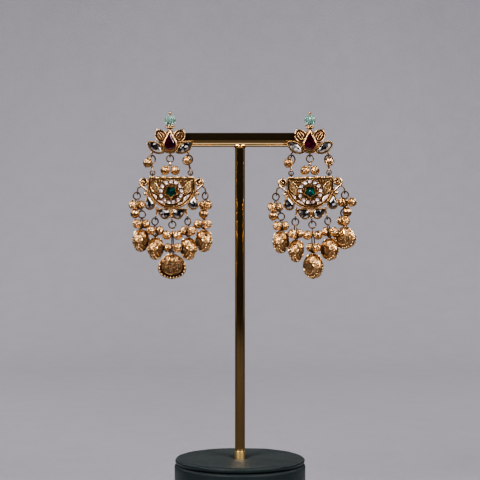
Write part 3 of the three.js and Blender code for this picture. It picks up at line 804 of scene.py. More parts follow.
def stone_material(name, flashes, body, painted_flash, size, share, painted_glint, ior=2.0):
    """A cut stone over foil: deep in itself, with a hard polish and painted flashes from below that glow.
    """
    material, tree, shader = new_material(name)
    values = (("Body", (*body, 1)), ("Painted Flash", (*painted_flash, 1)), ("Size", size), ("Share", share))
    look = put(tree, "Group", values, node_tree=flashes).outputs
    patterns = (
        ("Base Color", look["Color"]), ("Roughness", ranged(tree, look["Ripple"], 0, 1, 0.02, 0.09)),
        ("Normal", bumped(tree, 0.06, 0.0001, look["Ripple"])), ("Emission Color", look["Painted Glint"]),
    )
    polish = (("Coat Weight", 0.6), ("Coat Roughness", 0.02))
    shaded(tree, shader, patterns, (("Emission Strength", painted_glint), ("IOR", ior), *polish))
    return material


painted_flash_group = painted_foil_flashes()
# For each stone: its own colour, the painted colour of its bright patches, their size and share, and the
# strength of their painted glow.
ruby = stone_material(
    "ruby", painted_flash_group, (0.016, 0.001, 0.006), (0.085, 0.004, 0.022), 700, 0.35, 0.1
)
dark_crystal = stone_material(
    "clear stone over dark foil", painted_flash_group, (0.010, 0.009, 0.012), (0.52, 0.49, 0.50), 900, 0.2, 0.2
)
facet_angle = 3  # degrees: every edge between a stone's facets is crisp


def cut_stone(outline, seat, inward, floor, girdle, top, table, **how):
    """A flat-cut stone: a straight girdle, a row of facets, and a table whose corners are cut too."""
    layers = [(inward + 0.1, floor), (inward, girdle - 0.25), (inward, girdle), (table, top)]
    bm = built_up(outline, seat, layers, **how)
    highest = max(vert.co.z for vert in bm.verts)
    corners = [vert for vert in bm.verts if vert.co.z > highest - 1e-4]
    bmesh.ops.bevel(
        bm, geom=corners, offset=0.32, offset_type="OFFSET", segments=1, profile=0.5,
        affect="VERTICES", clamp_overlap=True, material=-1,
    )
    bmesh.ops.recalc_face_normals(bm, faces=bm.faces)
    return upright(bm)


for side in ("left", "right"):
    place = Matrix.Translation(swing[f"{side}_drop"])
    cut = cut_stone(drop_outline(*ruby_size), ruby_seat, 0.62, 0.5, 1.55, 2.2, 1.6, steps=9)
    stone = finished(f"{side}_ruby_drop", [(cut, ruby)], place, facet_angle)
    fitted(stone, "stand", "ruby_stone", f"{side}_ruby")
    for where, seat in (("left", mirrored(leaf_seat)), ("right", leaf_seat)):
        cut = cut_stone(leaf_outline(*leaf_size), seat, 0.55, 0.0, 0.95, 1.4, 1.35, steps=4)
        stone = finished(f"{side}_leaf_crystal_{where}", [(cut, dark_crystal)], place, facet_angle)
        fitted(stone, "stand", "clear_stone", f"{side}_leaf_stone_{where}")

# ------------------------------------------------------------------------------ beads on top
# A melon bead of pale aqua glass, drilled and slipped over the stud's pin. Its ten lobes are
# pressed in while it is hot, so they are soft, and there are bubbles and cloud inside.
lobes = 10
bead_radius = (bead_high.x - bead_low.x) / 2
bead_half = (bead_high.z - bead_low.z) / 2
bead_hole = 0.6
groove_depth = 0.32
end_angle = 72  # above and below the bead's waist, where its ends are cut flat


def aqua_glass_material():
    """Pressed glass: clear but clouded, with specks of trapped air."""
    material, tree, shader = new_material("pale aqua glass")
    cloud = grained(tree, 700, 4, 0.6)
    place = put(tree, "TexCoord").outputs["Object"]
    bubbles = put(tree, "TexVoronoi", (("Vector", place), ("Scale", 1700.0))).outputs["Distance"]
    tone = mixed(tree, ranged(tree, cloud, 0.35, 0.65), (0.38, 0.80, 0.70, 1), (0.80, 0.98, 0.93, 1))
    tone = mixed(tree, ranged(tree, bubbles, 0.0, 0.22, 0.7, 0), tone, (0.93, 1.0, 0.98, 1))
    rough = ranged(tree, cloud, 0.3, 0.7, 0.03, 0.12)
    normal = bumped(tree, 0.12, 0.0001, cloud)
    patterns = (("Base Color", tone), ("Roughness", rough), ("Normal", normal))
    shaded(tree, shader, patterns, (("Transmission Weight", 0.8), ("IOR", 1.55)))
    return material


aqua_glass = aqua_glass_material()
for side in ("left", "right"):
    outside = []
    for angle in even(-end_angle, end_angle, 16):
        reach = bead_hole + (bead_radius - bead_hole) * math.cos(angle * DEG) ** 0.75
        outside.append((reach, bead_half * math.sin(angle * DEG) / math.sin(end_angle * DEG)))
    hole_low, hole_high = (bead_hole, -bead_half * 0.9), (bead_hole, bead_half * 0.9)
    melon = turned([hole_low] + outside + [hole_high, hole_low], steps=80)
    for vert in melon.verts:
        flat = Vector((vert.co.x, vert.co.y, 0))
        away = (flat.length - bead_hole) / (bead_radius - bead_hole)
        groove = 1 - abs(math.sin(lobes / 2 * math.atan2(flat.y, flat.x))) ** 0.7
        vert.co -= flat.normalized() * groove_depth * groove * max(0, away)
    place = Matrix.Translation(swing[f"{side}_drop"] + (bead_low + bead_high) / 2)
    bead = finished(f"{side}_melon_bead", [(melon, aqua_glass)], place)
    fitted(bead, "stand", "aqua_stone", f"{side}_stud_bead")

# ------------------------------------------------------------------ links from stud to plate
# Each link is a jump ring through the stud's loop, a wrapped stem and a small foot ring that
# holds the plate's loop. A hollow fluted ball hangs beside it, and two more hang from a ring of
# their own in the middle. Balls are two gold shells soldered together, with a collar and a bead.
link_ring, link_foot = 2.1, 1.15  # radius of a link's two rings
string_ring = 1.75
ring_wire = 0.33
stem_radius = 0.42
ball_radius = 2.3
ball_flutes = 9
middle_ball_x, middle_ball_z = 2.45, -7.6
small = 0.89  # size of the lesser puffed drops, as a share of the largest

# How each earring hangs, as in the model: sway of the plate along X and its tilt; for each link
# the turn of its ring and the place of its ball; and for each string its first ring, then its
# stages down to its drop. A stage with ball_x is one ball beside an open ring.
hang = {
    "left": {
        "sway": 0.7,
        "tilt": 0,
        "links": [
            {"turn": 31, "ball": (-1.8, -0.9, -3.9)},
            {"turn": 25, "ball": (-0.7, -2.8, -2.9)},
        ],
        "strings": [
            {
                "shift": -0.3, "turn": 0,
                "stages": [
                    {"x": -0.4, "fall": 4.5, "turn": 54},
                    {"x": 2.2, "ball_x": -1.2, "fall": 4.3, "turn": 10},
                    {"x": 1.9, "fall": 5.1, "turn": 42},
                ],
                "drop": {"x": 1.7, "fall": 2.2, "turn": 69, "size": small},
            },
            {
                "shift": -0.3, "turn": 30,
                "stages": [{"x": -0.2, "fall": 4.5, "turn": 42}],
                "drop": {"x": 0, "fall": 2.9, "turn": 71, "size": small},
            },
            {
                "shift": 0.2, "turn": 0,
                "stages": [{"x": 0.2, "fall": 5.2, "turn": 5}, {"x": 0.4, "fall": 6.3, "turn": -26}],
                "drop": {"x": 0.1, "fall": 2.5, "turn": 3, "size": 1},
            },
            {
                "shift": 0.2, "turn": -30,
                "stages": [{"x": 0.5, "fall": 4.6, "turn": -44}],
                "drop": {"x": 0.5, "fall": 2.9, "turn": -62, "size": small},
            },
            {
                "shift": -0.2, "turn": -35,
                "stages": [
                    {"x": 0, "fall": 4.6, "turn": -65},
                    {"x": -0.6, "ball_x": -1.0, "fall": 4.3, "turn": -60},
                    {"x": -1.4, "fall": 5.1, "turn": -30},
                ],
                "drop": {"x": -0.8, "fall": 2.3, "turn": -64, "size": small},
            },
        ],
    },
    "right": {
        "sway": 0.1,
        "tilt": -1.6,
        "links": [
            {"turn": 30, "ball": (-1.5, -1.3, -4.0)},
            {"turn": -30, "ball": (0.3, -2.9, -3.3)},
        ],
        "strings": [
            {
                "shift": -0.3, "turn": 20,
                "stages": [
                    {"x": -0.6, "fall": 5.1, "turn": 50},
                    {"x": 2.3, "ball_x": -1.6, "fall": 4.3, "turn": 10},
                    {"x": 2.2, "fall": 5.0, "turn": 46},
                ],
                "drop": {"x": 2.2, "fall": 2.0, "turn": 66, "size": small},
            },
            {
                "shift": 0, "turn": 15,
                "stages": [{"x": 0.2, "fall": 5.9, "turn": 51}],
                "drop": {"x": 0.4, "fall": 2.5, "turn": 69, "size": small},
            },
            {
                "shift": 0.3, "turn": 0,
                "stages": [{"x": 0.5, "fall": 5.2, "turn": 0}, {"x": 1.0, "fall": 6.2, "turn": -60}],
                "drop": {"x": 0.7, "fall": 2.5, "turn": -60, "size": 1},
            },
            {
                "shift": 0.3, "turn": 30,
                "stages": [{"x": 1.3, "fall": 5.3, "turn": -50}],
                "drop": {"x": 1.2, "fall": 2.7, "turn": -59, "size": small},
            },
            {
                "shift": 0.2, "turn": -15,
                "stages": [
                    {"x": 1.2, "fall": 3.6, "turn": -26},
                    {"x": -0.6, "ball_x": 1.2, "fall": 4.9, "turn": -50},
                    {"x": -0.6, "fall": 4.4, "turn": -72},
                ],
                "drop": {"x": 0.1, "fall": 2.4, "turn": -37, "size": small},
            },
        ],
    },
}
moon_top = -10.9  # of the plate's straight edge, below the line that the drop swings on
plate_loop = {"x": 9.4, "y": 1.0}


def on_plate(plan, x, y):
    """A place on the plate, from the middle of its straight edge, in the earring's own frame."""
    lean = Matrix.Rotation(plan["tilt"] * DEG, 3, "Y")
    return lean @ Vector((x, 0, y)) + Vector((plan["sway"], 0, moon_top))


def gold_ball(centre, toward):
    """A fluted ball with a beaded belt at its seam and a collar that points toward a place."""
    parts = []
    shell = bmesh.new()
    bmesh.ops.create_uvsphere(shell, u_segments=ball_flutes * 8, v_segments=22, radius=ball_radius)
    for vert in shell.verts:
        flat = Vector((vert.co.x, vert.co.y, 0))
        around = flat.length / ball_radius
        furrow = 1 - abs(math.sin(ball_flutes / 2 * math.atan2(flat.y, flat.x))) ** 0.45
        vert.co *= 1 - 0.16 * furrow * around**0.9
    parts.append((shell, old_gold))
    inner, outer = ball_radius - 0.4, ball_radius - 0.06
    belt = turned(
        arc((outer, 0), 0.2, -90, 90, 6) + [(inner, 0.2), (inner, -0.2), (outer, -0.2)], steps=44
    )
    parts.append((belt, bright_gold))
    collar = turned(
        [(0, ball_radius - 0.25), (0.85, ball_radius - 0.22)]
        + arc((0.72, ball_radius), 0.2, -60, 100, 5)
        + [(0.42, ball_radius + 0.22), (0.36, ball_radius + 0.5), (0, ball_radius + 0.5)],
        steps=20,
    )
    parts.append((collar, bright_gold))
    foot = turned(
        [(0, -ball_radius - 0.32)]
        + arc((0, -ball_radius - 0.05), 0.34, -75, 0, 4)
        + [(0.55, -ball_radius + 0.12), (0, -ball_radius + 0.3)],
        steps=14,
    )
    parts.append((foot, old_gold))
    centre = Vector(centre)
    aim = (Vector(toward) - centre).normalized().to_track_quat("Z", "Y")
    for part, _ in parts:
        bmesh.ops.transform(part, matrix=Matrix.LocRotScale(centre, aim, None), verts=part.verts)
    return parts


def wrapped_stem(top, bottom, radius):
    """A short stem with fine wire wound round its middle."""
    top, bottom = Vector(top), Vector(bottom)
    core = wire([top, top.lerp(bottom, 0.5), bottom], radius * 0.7, 8)
    across = (bottom - top).cross(Vector((0, 1, 0))).normalized()
    other = (bottom - top).cross(across).normalized()
    rounds = max(3, round((bottom - top).length / 0.42))
    coil = []
    for i in range(rounds * 9 + 1):
        angle = math.tau * i / 9
        along = top.lerp(bottom, 0.15 + 0.7 * i / (rounds * 9))
        coil.append(along + radius * 0.8 * (across * math.cos(angle) + other * math.sin(angle)))
    return [(core, old_gold), (wire(coil, 0.17, 6), old_gold)]


def hung_ball(centre, start):
    """A ball on a bent stalk of wire from where it is held."""
    centre, start = Vector(centre), Vector(start)
    top = centre + Vector((0, 0, ball_radius + 0.3))
    if top.z > start.z:  # held from beside: the collar leans towards the ring
        toward = centre.lerp(start, 0.55) + Vector((0, 0, ball_radius))
    else:
        toward = start
    aim = (toward - centre).normalized()
    neck = centre + aim * (ball_radius + 0.2)
    stalk = [neck, neck + aim * 0.5, (neck + start) / 2 + aim * 0.35, start]
    return gold_ball(centre, toward) + [(wire(stalk, 0.3, 8), dark_wire)]


def side_link(x, foot, plan):
    """Ring, stem and foot ring, from a loop of the stud at x to the plate's loop at foot."""
    bottom = Vector((x, 0, -2 * link_ring))
    foot_top = Vector((foot.x, 0, foot.z + 2 * link_foot))
    parts = [(ring(link_ring, ring_wire, (x, 0, -link_ring), plan["turn"], 7), dark_wire)]
    parts += wrapped_stem(bottom, foot_top, stem_radius)
    parts.append((granules([bottom, foot_top], 0.52), old_gold))
    parts.append((ring(link_foot, 0.3, (foot.x, 0, foot.z + link_foot), segments=28), dark_wire))
    ball_x, ball_y, ball_z = plan["ball"]
    return parts + hung_ball((x + ball_x, ball_y, ball_z), bottom)


def middle_dangle():
    """A ring with two balls under it, which hangs free between the links."""
    bottom = -2 * string_ring
    knot = Vector((0, 0, bottom - 0.9))
    parts = [(ring(string_ring, ring_wire, (0, 0, -string_ring), 0, 8), dark_wire)]
    parts += wrapped_stem((0, 0, bottom + 0.2), knot, stem_radius)
    parts.append((granules([knot], 0.6), old_gold))
    for x in (-middle_ball_x, middle_ball_x):
        parts += hung_ball((x, 0, middle_ball_z), knot)
    return parts


for side, plan in hang.items():
    body = f"{side}_drop"
    place = Matrix.Translation(swing[body])
    ends = (("left", stud_loops[0], -plate_loop["x"]), ("right", stud_loops[2], plate_loop["x"]))
    for (where, x, foot_x), link in zip(ends, plan["links"]):
        foot = on_plate(plan, foot_x, plate_loop["y"])
        made = finished(f"{side}_link_{where}_wire", side_link(x, foot, link), place)
        fitted(made, body, "antique_gold", f"{side}_link_{where}")
    made = finished(f"{side}_middle_pair", middle_dangle(), place)
    fitted(made, body, "antique_gold", f"{side}_middle_dangle")

# -------------------------------------------------------------------------- half-moon plates
# A half-moon of gold sheet with a double rim and a twisted rope along its straight edge. White
# stones stand in a ring round the star's collet, between two hatched leaves, and two scrolls,
# four drop settings and seven loops are soldered round the outside.
moon = {"radius": 11.9, "drop": 4.0, "back": -1.0, "face": -0.1}
flower = {"x": -0.2, "y": -7.4, "lean": 0}
flower_radius = 6.2
petal_stones = 13
petal_ring = 5.2  # radius of the circle that the small stones stand on
petal_stone, petal_collet = 0.95, 1.14
star_tip, star_valley = 3.9, 2.5
gold_leaf = {"x": 8.4, "y": -5.3, "lean": 28}
gold_leaf_size = (8.8, 3.9)
side_cup = {"x": 10.8, "y": -13.5, "lean": 9}
low_cup = {"x": 3.0, "y": -18.2, "lean": 64}
cup_radius, cup_tip = 2.65, 5.4
scroll_middle = Vector((13.6, -2.6))
side_granule = Vector((12.9, -8.2))
string_loops = ((-16.9, -7.6), (-7.9, -20.3), (0.2, -21.9), (7.9, -20.3), (16.9, -7.6))


def star_outline(inward):
    """A star of five points with its foot down, so far in from the edge."""
    points = []
    for i in range(10):
        reach = (star_valley - inward) if i % 2 else (star_tip - 2.2 * inward)
        angle = (-90 + 36 * i) * DEG
        points.append((reach * math.cos(angle), reach * math.sin(angle)))
    return points


def moon_outline(inward):
    """The part of a disc that lies under the plate's straight edge."""
    radius = moon["radius"] - inward
    start = math.asin(moon["drop"] / radius) / DEG
    return arc((0, -moon["drop"]), radius, 180 - start, 360 + start, 60)


def rim_of_moon():
    """Two round rims with a narrow dark channel between them, bent along the curved edge."""
    radius, drop = moon["radius"], moon["drop"]
    section = [(radius, -0.3)] + arc((radius - 0.36, 0.70), 0.36, 0, 165, 7)
    section += [(radius - 0.82, 0.30), (radius - 1.05, 0.26)]
    section += arc((radius - 1.36, 0.58), 0.24, 10, 180, 6) + [(radius - 1.62, -0.3)]
    bm = bmesh.new()
    start = math.pi - math.asin(drop / radius)
    aim = Vector((math.cos(start), math.sin(start), 0))
    corners = [bm.verts.new(aim * reach + Vector((0, -drop, height))) for reach, height in section]
    face = bm.faces.new(corners)
    bmesh.ops.spin(
        bm, geom=[face] + face.edges[:] + corners, cent=(0, -drop, 0), axis=(0, 0, 1),
        angle=math.pi + 2 * math.asin(drop / radius), steps=72,
    )
    soot_and_shade = bm.verts.layers.float.new("soot_and_shade")
    for vert in bm.verts:
        vert[soot_and_shade] = 1.0 if vert.co.z < 0.4 else 0.15
    bmesh.ops.recalc_face_normals(bm, faces=bm.faces)
    return bm


def rope(start, stop, radius, pitch):
    """Two strands of wire twisted round each other, between two points on the bench."""
    start, stop = Vector(start), Vector(stop)
    across = (stop - start).normalized().cross(Vector((0, 0, 1)))
    steps = round((stop - start).length / pitch * 12)
    strands = []
    for phase in (0, math.pi):
        line = []
        for i in range(steps + 1):
            angle = math.tau * i / 12 + phase
            away = across * math.cos(angle) + Vector((0, 0, math.sin(angle)))
            line.append(start.lerp(stop, i / steps) + away * radius / 2)
        strands.append((wire(line, radius * 0.56, 7), bright_gold))
    return strands


def crescent(radius, start, stop, width):
    """The outline of a sliver that follows a circle about the disc's middle."""

    def outline(inward, steps=10):
        margin = inward / radius / DEG
        outside = radius - inward * 0.5
        low, high = start + margin, stop - margin
        outer = arc((0, -moon["drop"]), outside, low, high, steps)
        inner = []
        for i in range(1, steps):
            angle = (high + (low - high) * i / steps) * DEG
            reach = outside - (width - inward) * math.sin(math.pi * i / steps) ** 0.7
            inner.append((reach * math.cos(angle), reach * math.sin(angle) - moon["drop"]))
        return outer + inner

    return outline


sliver_radius = 10.2
slivers = [
    crescent(sliver_radius, start, stop, width)
    for start, stop, width in ((206, 223, 0.8), (227, 251, 0.95), (288, 301, 0.8), (304, 333, 1.2))
]


def petal_seats():
    """The places of the small white stones in a ring round the star."""
    seats = []
    for i in range(petal_stones):
        angle = (90 + 360 * i / petal_stones) * DEG
        x = flower["x"] + petal_ring * math.cos(angle)
        seats.append({"x": x, "y": flower["y"] + petal_ring * math.sin(angle), "lean": 20 * i})
    return seats


def hatching(seat):
    """Two sets of fine wires that cross over the belly of a leaf."""
    turn = Matrix.Rotation(-seat["lean"] * DEG, 3, "Z")
    wires = []
    for slant in (-1, 1):
        for t in even(-2.7, 2.7, 9):
            half = 1.34 * (1 - (t / 3.6) ** 2)
            line = []
            for share in (-1, -0.5, 0, 0.5, 1):
                spot = Vector((share * half, t + slant * share * half * 0.8, 0.74 - 0.14 * share * share))
                line.append(turn @ spot + Vector((seat["x"], seat["y"], 0)))
            wires.append((wire(line, 0.1, 5), bright_gold))
    return wires


def scroll_parts(side):
    """A horn of wire wound into a scroll round a granule, with what is soldered to it."""
    middle = Vector((side * scroll_middle.x, scroll_middle.y, 0))
    outward = Vector((side, 0, 0))
    up = Vector((0, 1, 0))
    band = [middle - outward * 2.9 - up * 5.9, middle - outward * 1.3 - up * 3.9]
    for i in range(25):
        angle = (-42 + 19.5 * i) * DEG
        reach = 2.12 - 1.15 * i / 24
        around = outward * math.cos(angle) + up * math.sin(angle)
        band.append(middle + reach * around + Vector((0, 0, 0.3 * i / 24)))
    edge = [point + Vector((0, 0, 0.48)) for point in band]
    seat = {"x": middle.x, "y": middle.y, "lean": 0}
    backing = [(0.1, -0.6), (0, -0.5), (0, -0.3), (0.3, -0.2)]
    grain = Vector((side * side_granule.x, side_granule.y, 0))
    loop = Vector((side * string_loops[-1][0], string_loops[-1][1], 0))
    branch = [
        middle + outward * 1.2 - up * 1.5, middle + outward * 2.1 - up * 2.3,
        loop - outward * 0.3 + up * 2.2, loop + up * loop_radius,
    ]
    twig = [grain + up * 0.6, grain + up * 1.6 - outward * 0.7, middle - outward * 2.2 - up * 4.2]
    return [
        (wire(band, 0.55, 9, end=0.7), worn_gold),
        (wire(edge, 0.2, 6, end=0.7), old_gold),
        (built_up(round_outline(1.9), seat, backing, steps=28), dark_gold),
        (granules([middle + Vector((0, 0, 0.4))], 0.66), bright_gold),
        (granules([grain], 0.95, 3), bright_gold),
        (wire(branch, 0.46, 8, end=0.8), dark_wire),
        (wire(twig, 0.35, 8), dark_wire),
    ]


def plate_parts():
    """The whole of a plate's metal, made flat on the bench and then stood up."""
    level = moon["face"]
    half_edge = math.sqrt(moon["radius"] ** 2 - moon["drop"] ** 2)
    sheet = [(0.15, moon["back"]), (0, -0.85), (0, -0.3), (0.2, level)]
    parts = [(built_up(moon_outline, bench, sheet), dark_gold), (rim_of_moon(), worn_gold)]
    parts += rope((-half_edge, -0.3, 0.62), (half_edge, -0.3, 0.62), 0.55, 1.5)
    for y, height, radius, metal in ((-0.4, 0.0, 0.62, old_gold), (-1.45, 0.25, 0.26, bright_gold)):
        line = [(-half_edge + radius, y, height), (0, y, height), (half_edge - radius, y, height)]
        parts.append((wire(line, radius, 10), metal))
    edge_row = spaced([Vector((-8.2, -2.1, 0.2)), Vector((8.2, -2.1, 0.2))], 0.78, closed=False)
    parts.append((granules(edge_row, 0.3), old_gold))

    # The flower is a raised disc with a collet for each small stone and granules in the gaps.
    disc = [(0, level), (0, 0.3), (0.25, 0.5)]
    parts.append((built_up(round_outline(flower_radius), flower, disc, steps=60), dark_gold))
    collet = [(0, 0.3), (0.02, 0.85), (0.1, 0.98), (0.18, 0.98), (0.26, 0.85), (0.3, 0.4)]
    gaps = []
    middle = Vector((flower["x"], flower["y"], 0.55))
    for i, seat in enumerate(petal_seats()):
        parts.append((built_up(round_outline(petal_collet), seat, collet, steps=18), worn_gold))
        between = (90 + 360 * (i + 0.5) / petal_stones) * DEG
        toward = Vector((math.cos(between), math.sin(between), 0))
        gaps += [middle + toward * (petal_ring + 0.8), middle + toward * (petal_ring - 1.15)]
    parts.append((granules(gaps, 0.34), old_gold))
    wall = [(0, level), (0, 1.5), (0.08, 1.78), (0.2, 1.9), (0.32, 1.88), (0.45, 1.6), (0.5, 0.4)]
    parts.append((built_up(star_outline, flower, wall), bright_gold))

    for seat in (gold_leaf, mirrored(gold_leaf)):
        wall = [(0, level), (0, 0.66), (0.1, 0.9), (0.28, 0.98), (0.46, 0.86), (0.54, 0.45)]
        wall += [(0.7, 0.4), (1.2, 0.60), (1.6, 0.68)]
        outline = leaf_outline(*gold_leaf_size)
        parts.append((built_up(outline, seat, wall), bright_gold))
        edge = seated(outline(0.28), seat, 0.96)
        parts.append((wire(edge, 0.14, 5, closed=True), bright_gold))
        parts += hatching(seat)

    cup = drop_outline(cup_radius, cup_tip)
    for seat in (side_cup, mirrored(side_cup), low_cup, mirrored(low_cup)):
        wall = [(0.1, -1.0), (0, -0.85), (0, 0.7), (0.1, 0.88), (0.24, 0.92), (0.28, 1.15)]
        wall += [(0.36, 1.3), (0.5, 1.3), (0.6, 1.12), (0.64, 0.8), (0.66, 0.0)]
        parts.append((built_up(cup, seat, wall, steps=22), bright_gold))
        beading = spaced(seated(cup(-0.06, steps=36), seat, 0.35), rim_pitch)
        parts.append((granules(beading, rim_granule - 0.01), old_gold))
    parts.append((granules([(0, -15.9, 0.35), (0, -19.4, 0.35)], 0.62, 3), bright_gold))
    spine = [(0, -15.6, 0.0), (0, -17.6, 0.1), (0, -20.9, 0)]
    parts.append((wire(spine, 0.62, 10, end=0.7), old_gold))
    for side in (-1, 1):
        grains = [(side * 7.4, -15.2, 0.3), (side * 6.2, -16.0, 0.5), (side * 8.6, -14.6, 0.2)]
        parts.append((granules(grains, 0.42), old_gold))
        parts += scroll_parts(side)
    for outline in slivers:
        parts.append((wire(seated(outline(-0.1), bench, 0.34), 0.15, 6, closed=True), bright_gold))
    for part, _ in parts:
        upright(part)

    upper_loops = [(x, plate_loop["y"]) for x in (-plate_loop["x"], plate_loop["x"])]
    for x, y in (*upper_loops, *string_loops):
        parts.append((soldered_loop(x, y), dark_wire))
    for x, y in string_loops[1:-1]:
        stalk = [(x, 0, y + 0.8), (x * 0.95, 0.15, y + 2.2), (x * 0.9, 0.3, y + 3.8)]
        parts.append((wire(stalk, 0.42, 8), old_gold))
        parts.append((granules([(x * 0.98, 0, y + 1.25)], 0.48), bright_gold))
    return parts


plate_places = {}
for side, plan in hang.items():
    lean = Matrix.Rotation(plan["tilt"] * DEG, 4, "Y")
    middle = swing[f"{side}_drop"] + Vector((plan["sway"], 0, moon_top))
    plate_places[side] = Matrix.Translation(middle) @ lean
    plate = finished(f"{side}_plate_metal", plate_parts(), plate_places[side])
    fitted(plate, f"{side}_drop", "antique_gold", f"{side}_moon_plate")

# ------------------------------------------------------------------------- stones of the plate
# A deep green star, four clear drops over dark foil, and small white stones: brilliants in the
# flower and thin slivers along the rim. Each is held by metal that is pressed over its edge.
# Their bright patches are painted and glow, as on the stud's stones, and much of the white stones'
# whiteness is painted light too.
emerald = stone_material(
    "emerald", painted_flash_group, (0.001, 0.016, 0.014), (0.003, 0.12, 0.095), 520, 0.35, 0.15
)
white_stone = stone_material(
    "white stone", painted_flash_group, (0.27, 0.19, 0.20), (0.92, 0.80, 0.81), 1500, 0.55, 0.5, ior=2.2
)

for side, place in plate_places.items():
    body = f"{side}_drop"
    cut = cut_stone(star_outline, flower, 0.42, 0.5, 1.25, 1.7, 1.62)
    star = finished(f"{side}_star_emerald", [(cut, emerald)], place, facet_angle)
    fitted(star, body, "emerald_stone", f"{side}_star_stone")
    for name, seat in (("side", side_cup), ("low", low_cup)):
        for where, spot in (("left", mirrored(seat)), ("right", seat)):
            outline = drop_outline(cup_radius, cup_tip)
            cut = cut_stone(outline, spot, 0.62, 0.1, 0.95, 1.3, 1.38, steps=7)
            parts = [(cut, dark_crystal)]
            stone = finished(f"{side}_{name}_crystal_{where}", parts, place, facet_angle)
            fitted(stone, body, "clear_stone", f"{side}_{name}_stone_{where}")
    whites = []
    for seat in petal_seats():
        cut = cut_stone(round_outline(petal_stone), seat, 0.0, 0.45, 0.82, 0.42, 1.2, steps=8)
        whites.append((cut, white_stone))
    for outline in slivers:
        cut = built_up(outline, bench, [(0.05, 0.0), (0, 0.1), (0, 0.38), (0.25, 0.56)])
        whites.append((upright(cut), white_stone))
    fitted(finished(f"{side}_white_stones", whites, place, facet_angle), body, "clear_stone")

# --------------------------------------------------------------------------- strings of balls
# From each loop under the plate hangs a jump ring, then stages of hollow balls: pairs on a short
# bar through a small link, or one ball beside an open ring. A last ring holds the puffed drop.
pair_spread = 2.65  # from the middle of a pair of balls to each of them
drop_ring_wire = 0.28


def oval_link(top, bottom, width, thickness, turn):
    """A closed link of round wire between two points."""
    top, bottom = Vector(top), Vector(bottom)
    out = Matrix.Rotation(turn * DEG, 3, "Z") @ Vector((1, 0, 0))
    line = []
    for angle in even(0, 345, 23):
        along = top.lerp(bottom, 0.5 - 0.5 * math.cos(angle * DEG))
        line.append(along + out * math.sin(angle * DEG) * width / 2)
    return wire(line, thickness, 7, closed=True)


def ball_string(start, plan):
    """The parts of one string, and the place that its drop hangs from."""
    first = Vector((start.x + plan["shift"], 0, start.z - string_ring))
    parts = [(ring(string_ring, ring_wire, first, plan["turn"], 8), dark_wire)]
    held = first - Vector((0, 0, string_ring))
    z = first.z
    for stage in plan["stages"]:
        z -= stage["fall"]
        middle = Vector((start.x + stage["x"], 0, z))
        if "ball_x" in stage:
            parts += hung_ball((start.x + stage["ball_x"], -0.3, z), held)
            open_ring = middle + Vector((0, 0.5, -0.4))
            parts.append((ring(string_ring, ring_wire, open_ring, stage["turn"], 9), dark_wire))
            ring_top = open_ring + Vector((0, 0, string_ring))
            parts.append((oval_link(held, ring_top, 1.2, 0.26, 60), dark_wire))
            held = open_ring - Vector((0, 0, string_ring))
            continue
        reach = Matrix.Rotation(stage["turn"] * DEG, 3, "Z") @ Vector((pair_spread, 0, 0))
        bar = [middle - reach * 0.4, middle, middle + reach * 0.4]
        parts.append((wire(bar, ring_wire, 8), dark_wire))
        for place in (middle - reach, middle + reach):
            parts += gold_ball(place, middle + Vector((0, 0, 0.9)))
        parts.append((oval_link(held, middle, 1.5, 0.27, stage["turn"] + 90), dark_wire))
        parts.append((granules([middle + Vector((0, 0, 0.3))], 0.55), old_gold))
        held = middle
    drop = plan["drop"]
    end = Vector((start.x + drop["x"], 0, z - drop["fall"]))
    reach = drop["fall"] / 2
    last = ring(reach, drop_ring_wire, end + Vector((0, 0, reach)), drop["turn"] + 90, segments=26)
    parts.append((last, dark_wire))
    return parts, end


drop_places = {}
for side, plan in hang.items():
    body = f"{side}_drop"
    for i, string in enumerate(plan["strings"]):
        parts, end = ball_string(on_plate(plan, *string_loops[i]), string)
        drop_places[side, i + 1] = end
        made = finished(f"{side}_ball_string_{i + 1}", parts, Matrix.Translation(swing[body]))
        fitted(made, body, "antique_gold", f"{side}_string_{i + 1}")

# ------------------------------------------------------------------------------ puffed drops
# Hollow fans, each of two embossed shells soldered edge to edge. Both faces carry a row of
# beads at the rim, a raised arc round a field of granules, and an eye at the top between two
# waves that each hold a boss. Black lies in the channels and along the waves, where part of it
# is painted shadow. The faces keep some black, with painted shade added lower down, and the
# shoulders are rubbed bright.
drop_sections = (  # down from the top of the shell: half the width and half the thickness
    {"depth": 0.0, "width": 1.5, "thickness": 1.3},
    {"depth": 1.2, "width": 3.6, "thickness": 2.8},
    {"depth": 3.6, "width": 5.7, "thickness": 3.5},
    {"depth": 7.0, "width": 6.75, "thickness": 3.4},
    {"depth": 10.2, "width": 5.3, "thickness": 2.3},
    {"depth": 12.3, "width": 1.8, "thickness": 0.9},
)
drop_depth = drop_sections[-1]["depth"]
drop_toe = 11.2  # depth where the foot starts to round off
drop_loop_height = 0.6  # from the shell's top up to where it hangs
fan_middle = 5.9  # depth of the middle that the arcs are drawn about
bead_row, raised_arc, field_edge = 0.92, 0.635, 0.55  # how far out, as a share of the outline
rim_bead, field_granule, arc_wire, wave_wire = 0.55, 0.29, 0.36, 0.48
eye = {"depth": 2.9, "width": 1.2, "height": 1.65}
wave = ((0.6, 0.8), (1.45, 2.4), (1.9, 3.9), (2.9, 4.75), (4.1, 4.55), (4.95, 4.0))  # across, down
boss = (3.5, 3.35)
jitter_seed = 5  # of the field's granules: left unset, it follows the clock and they move each run
noise.seed_set(jitter_seed)


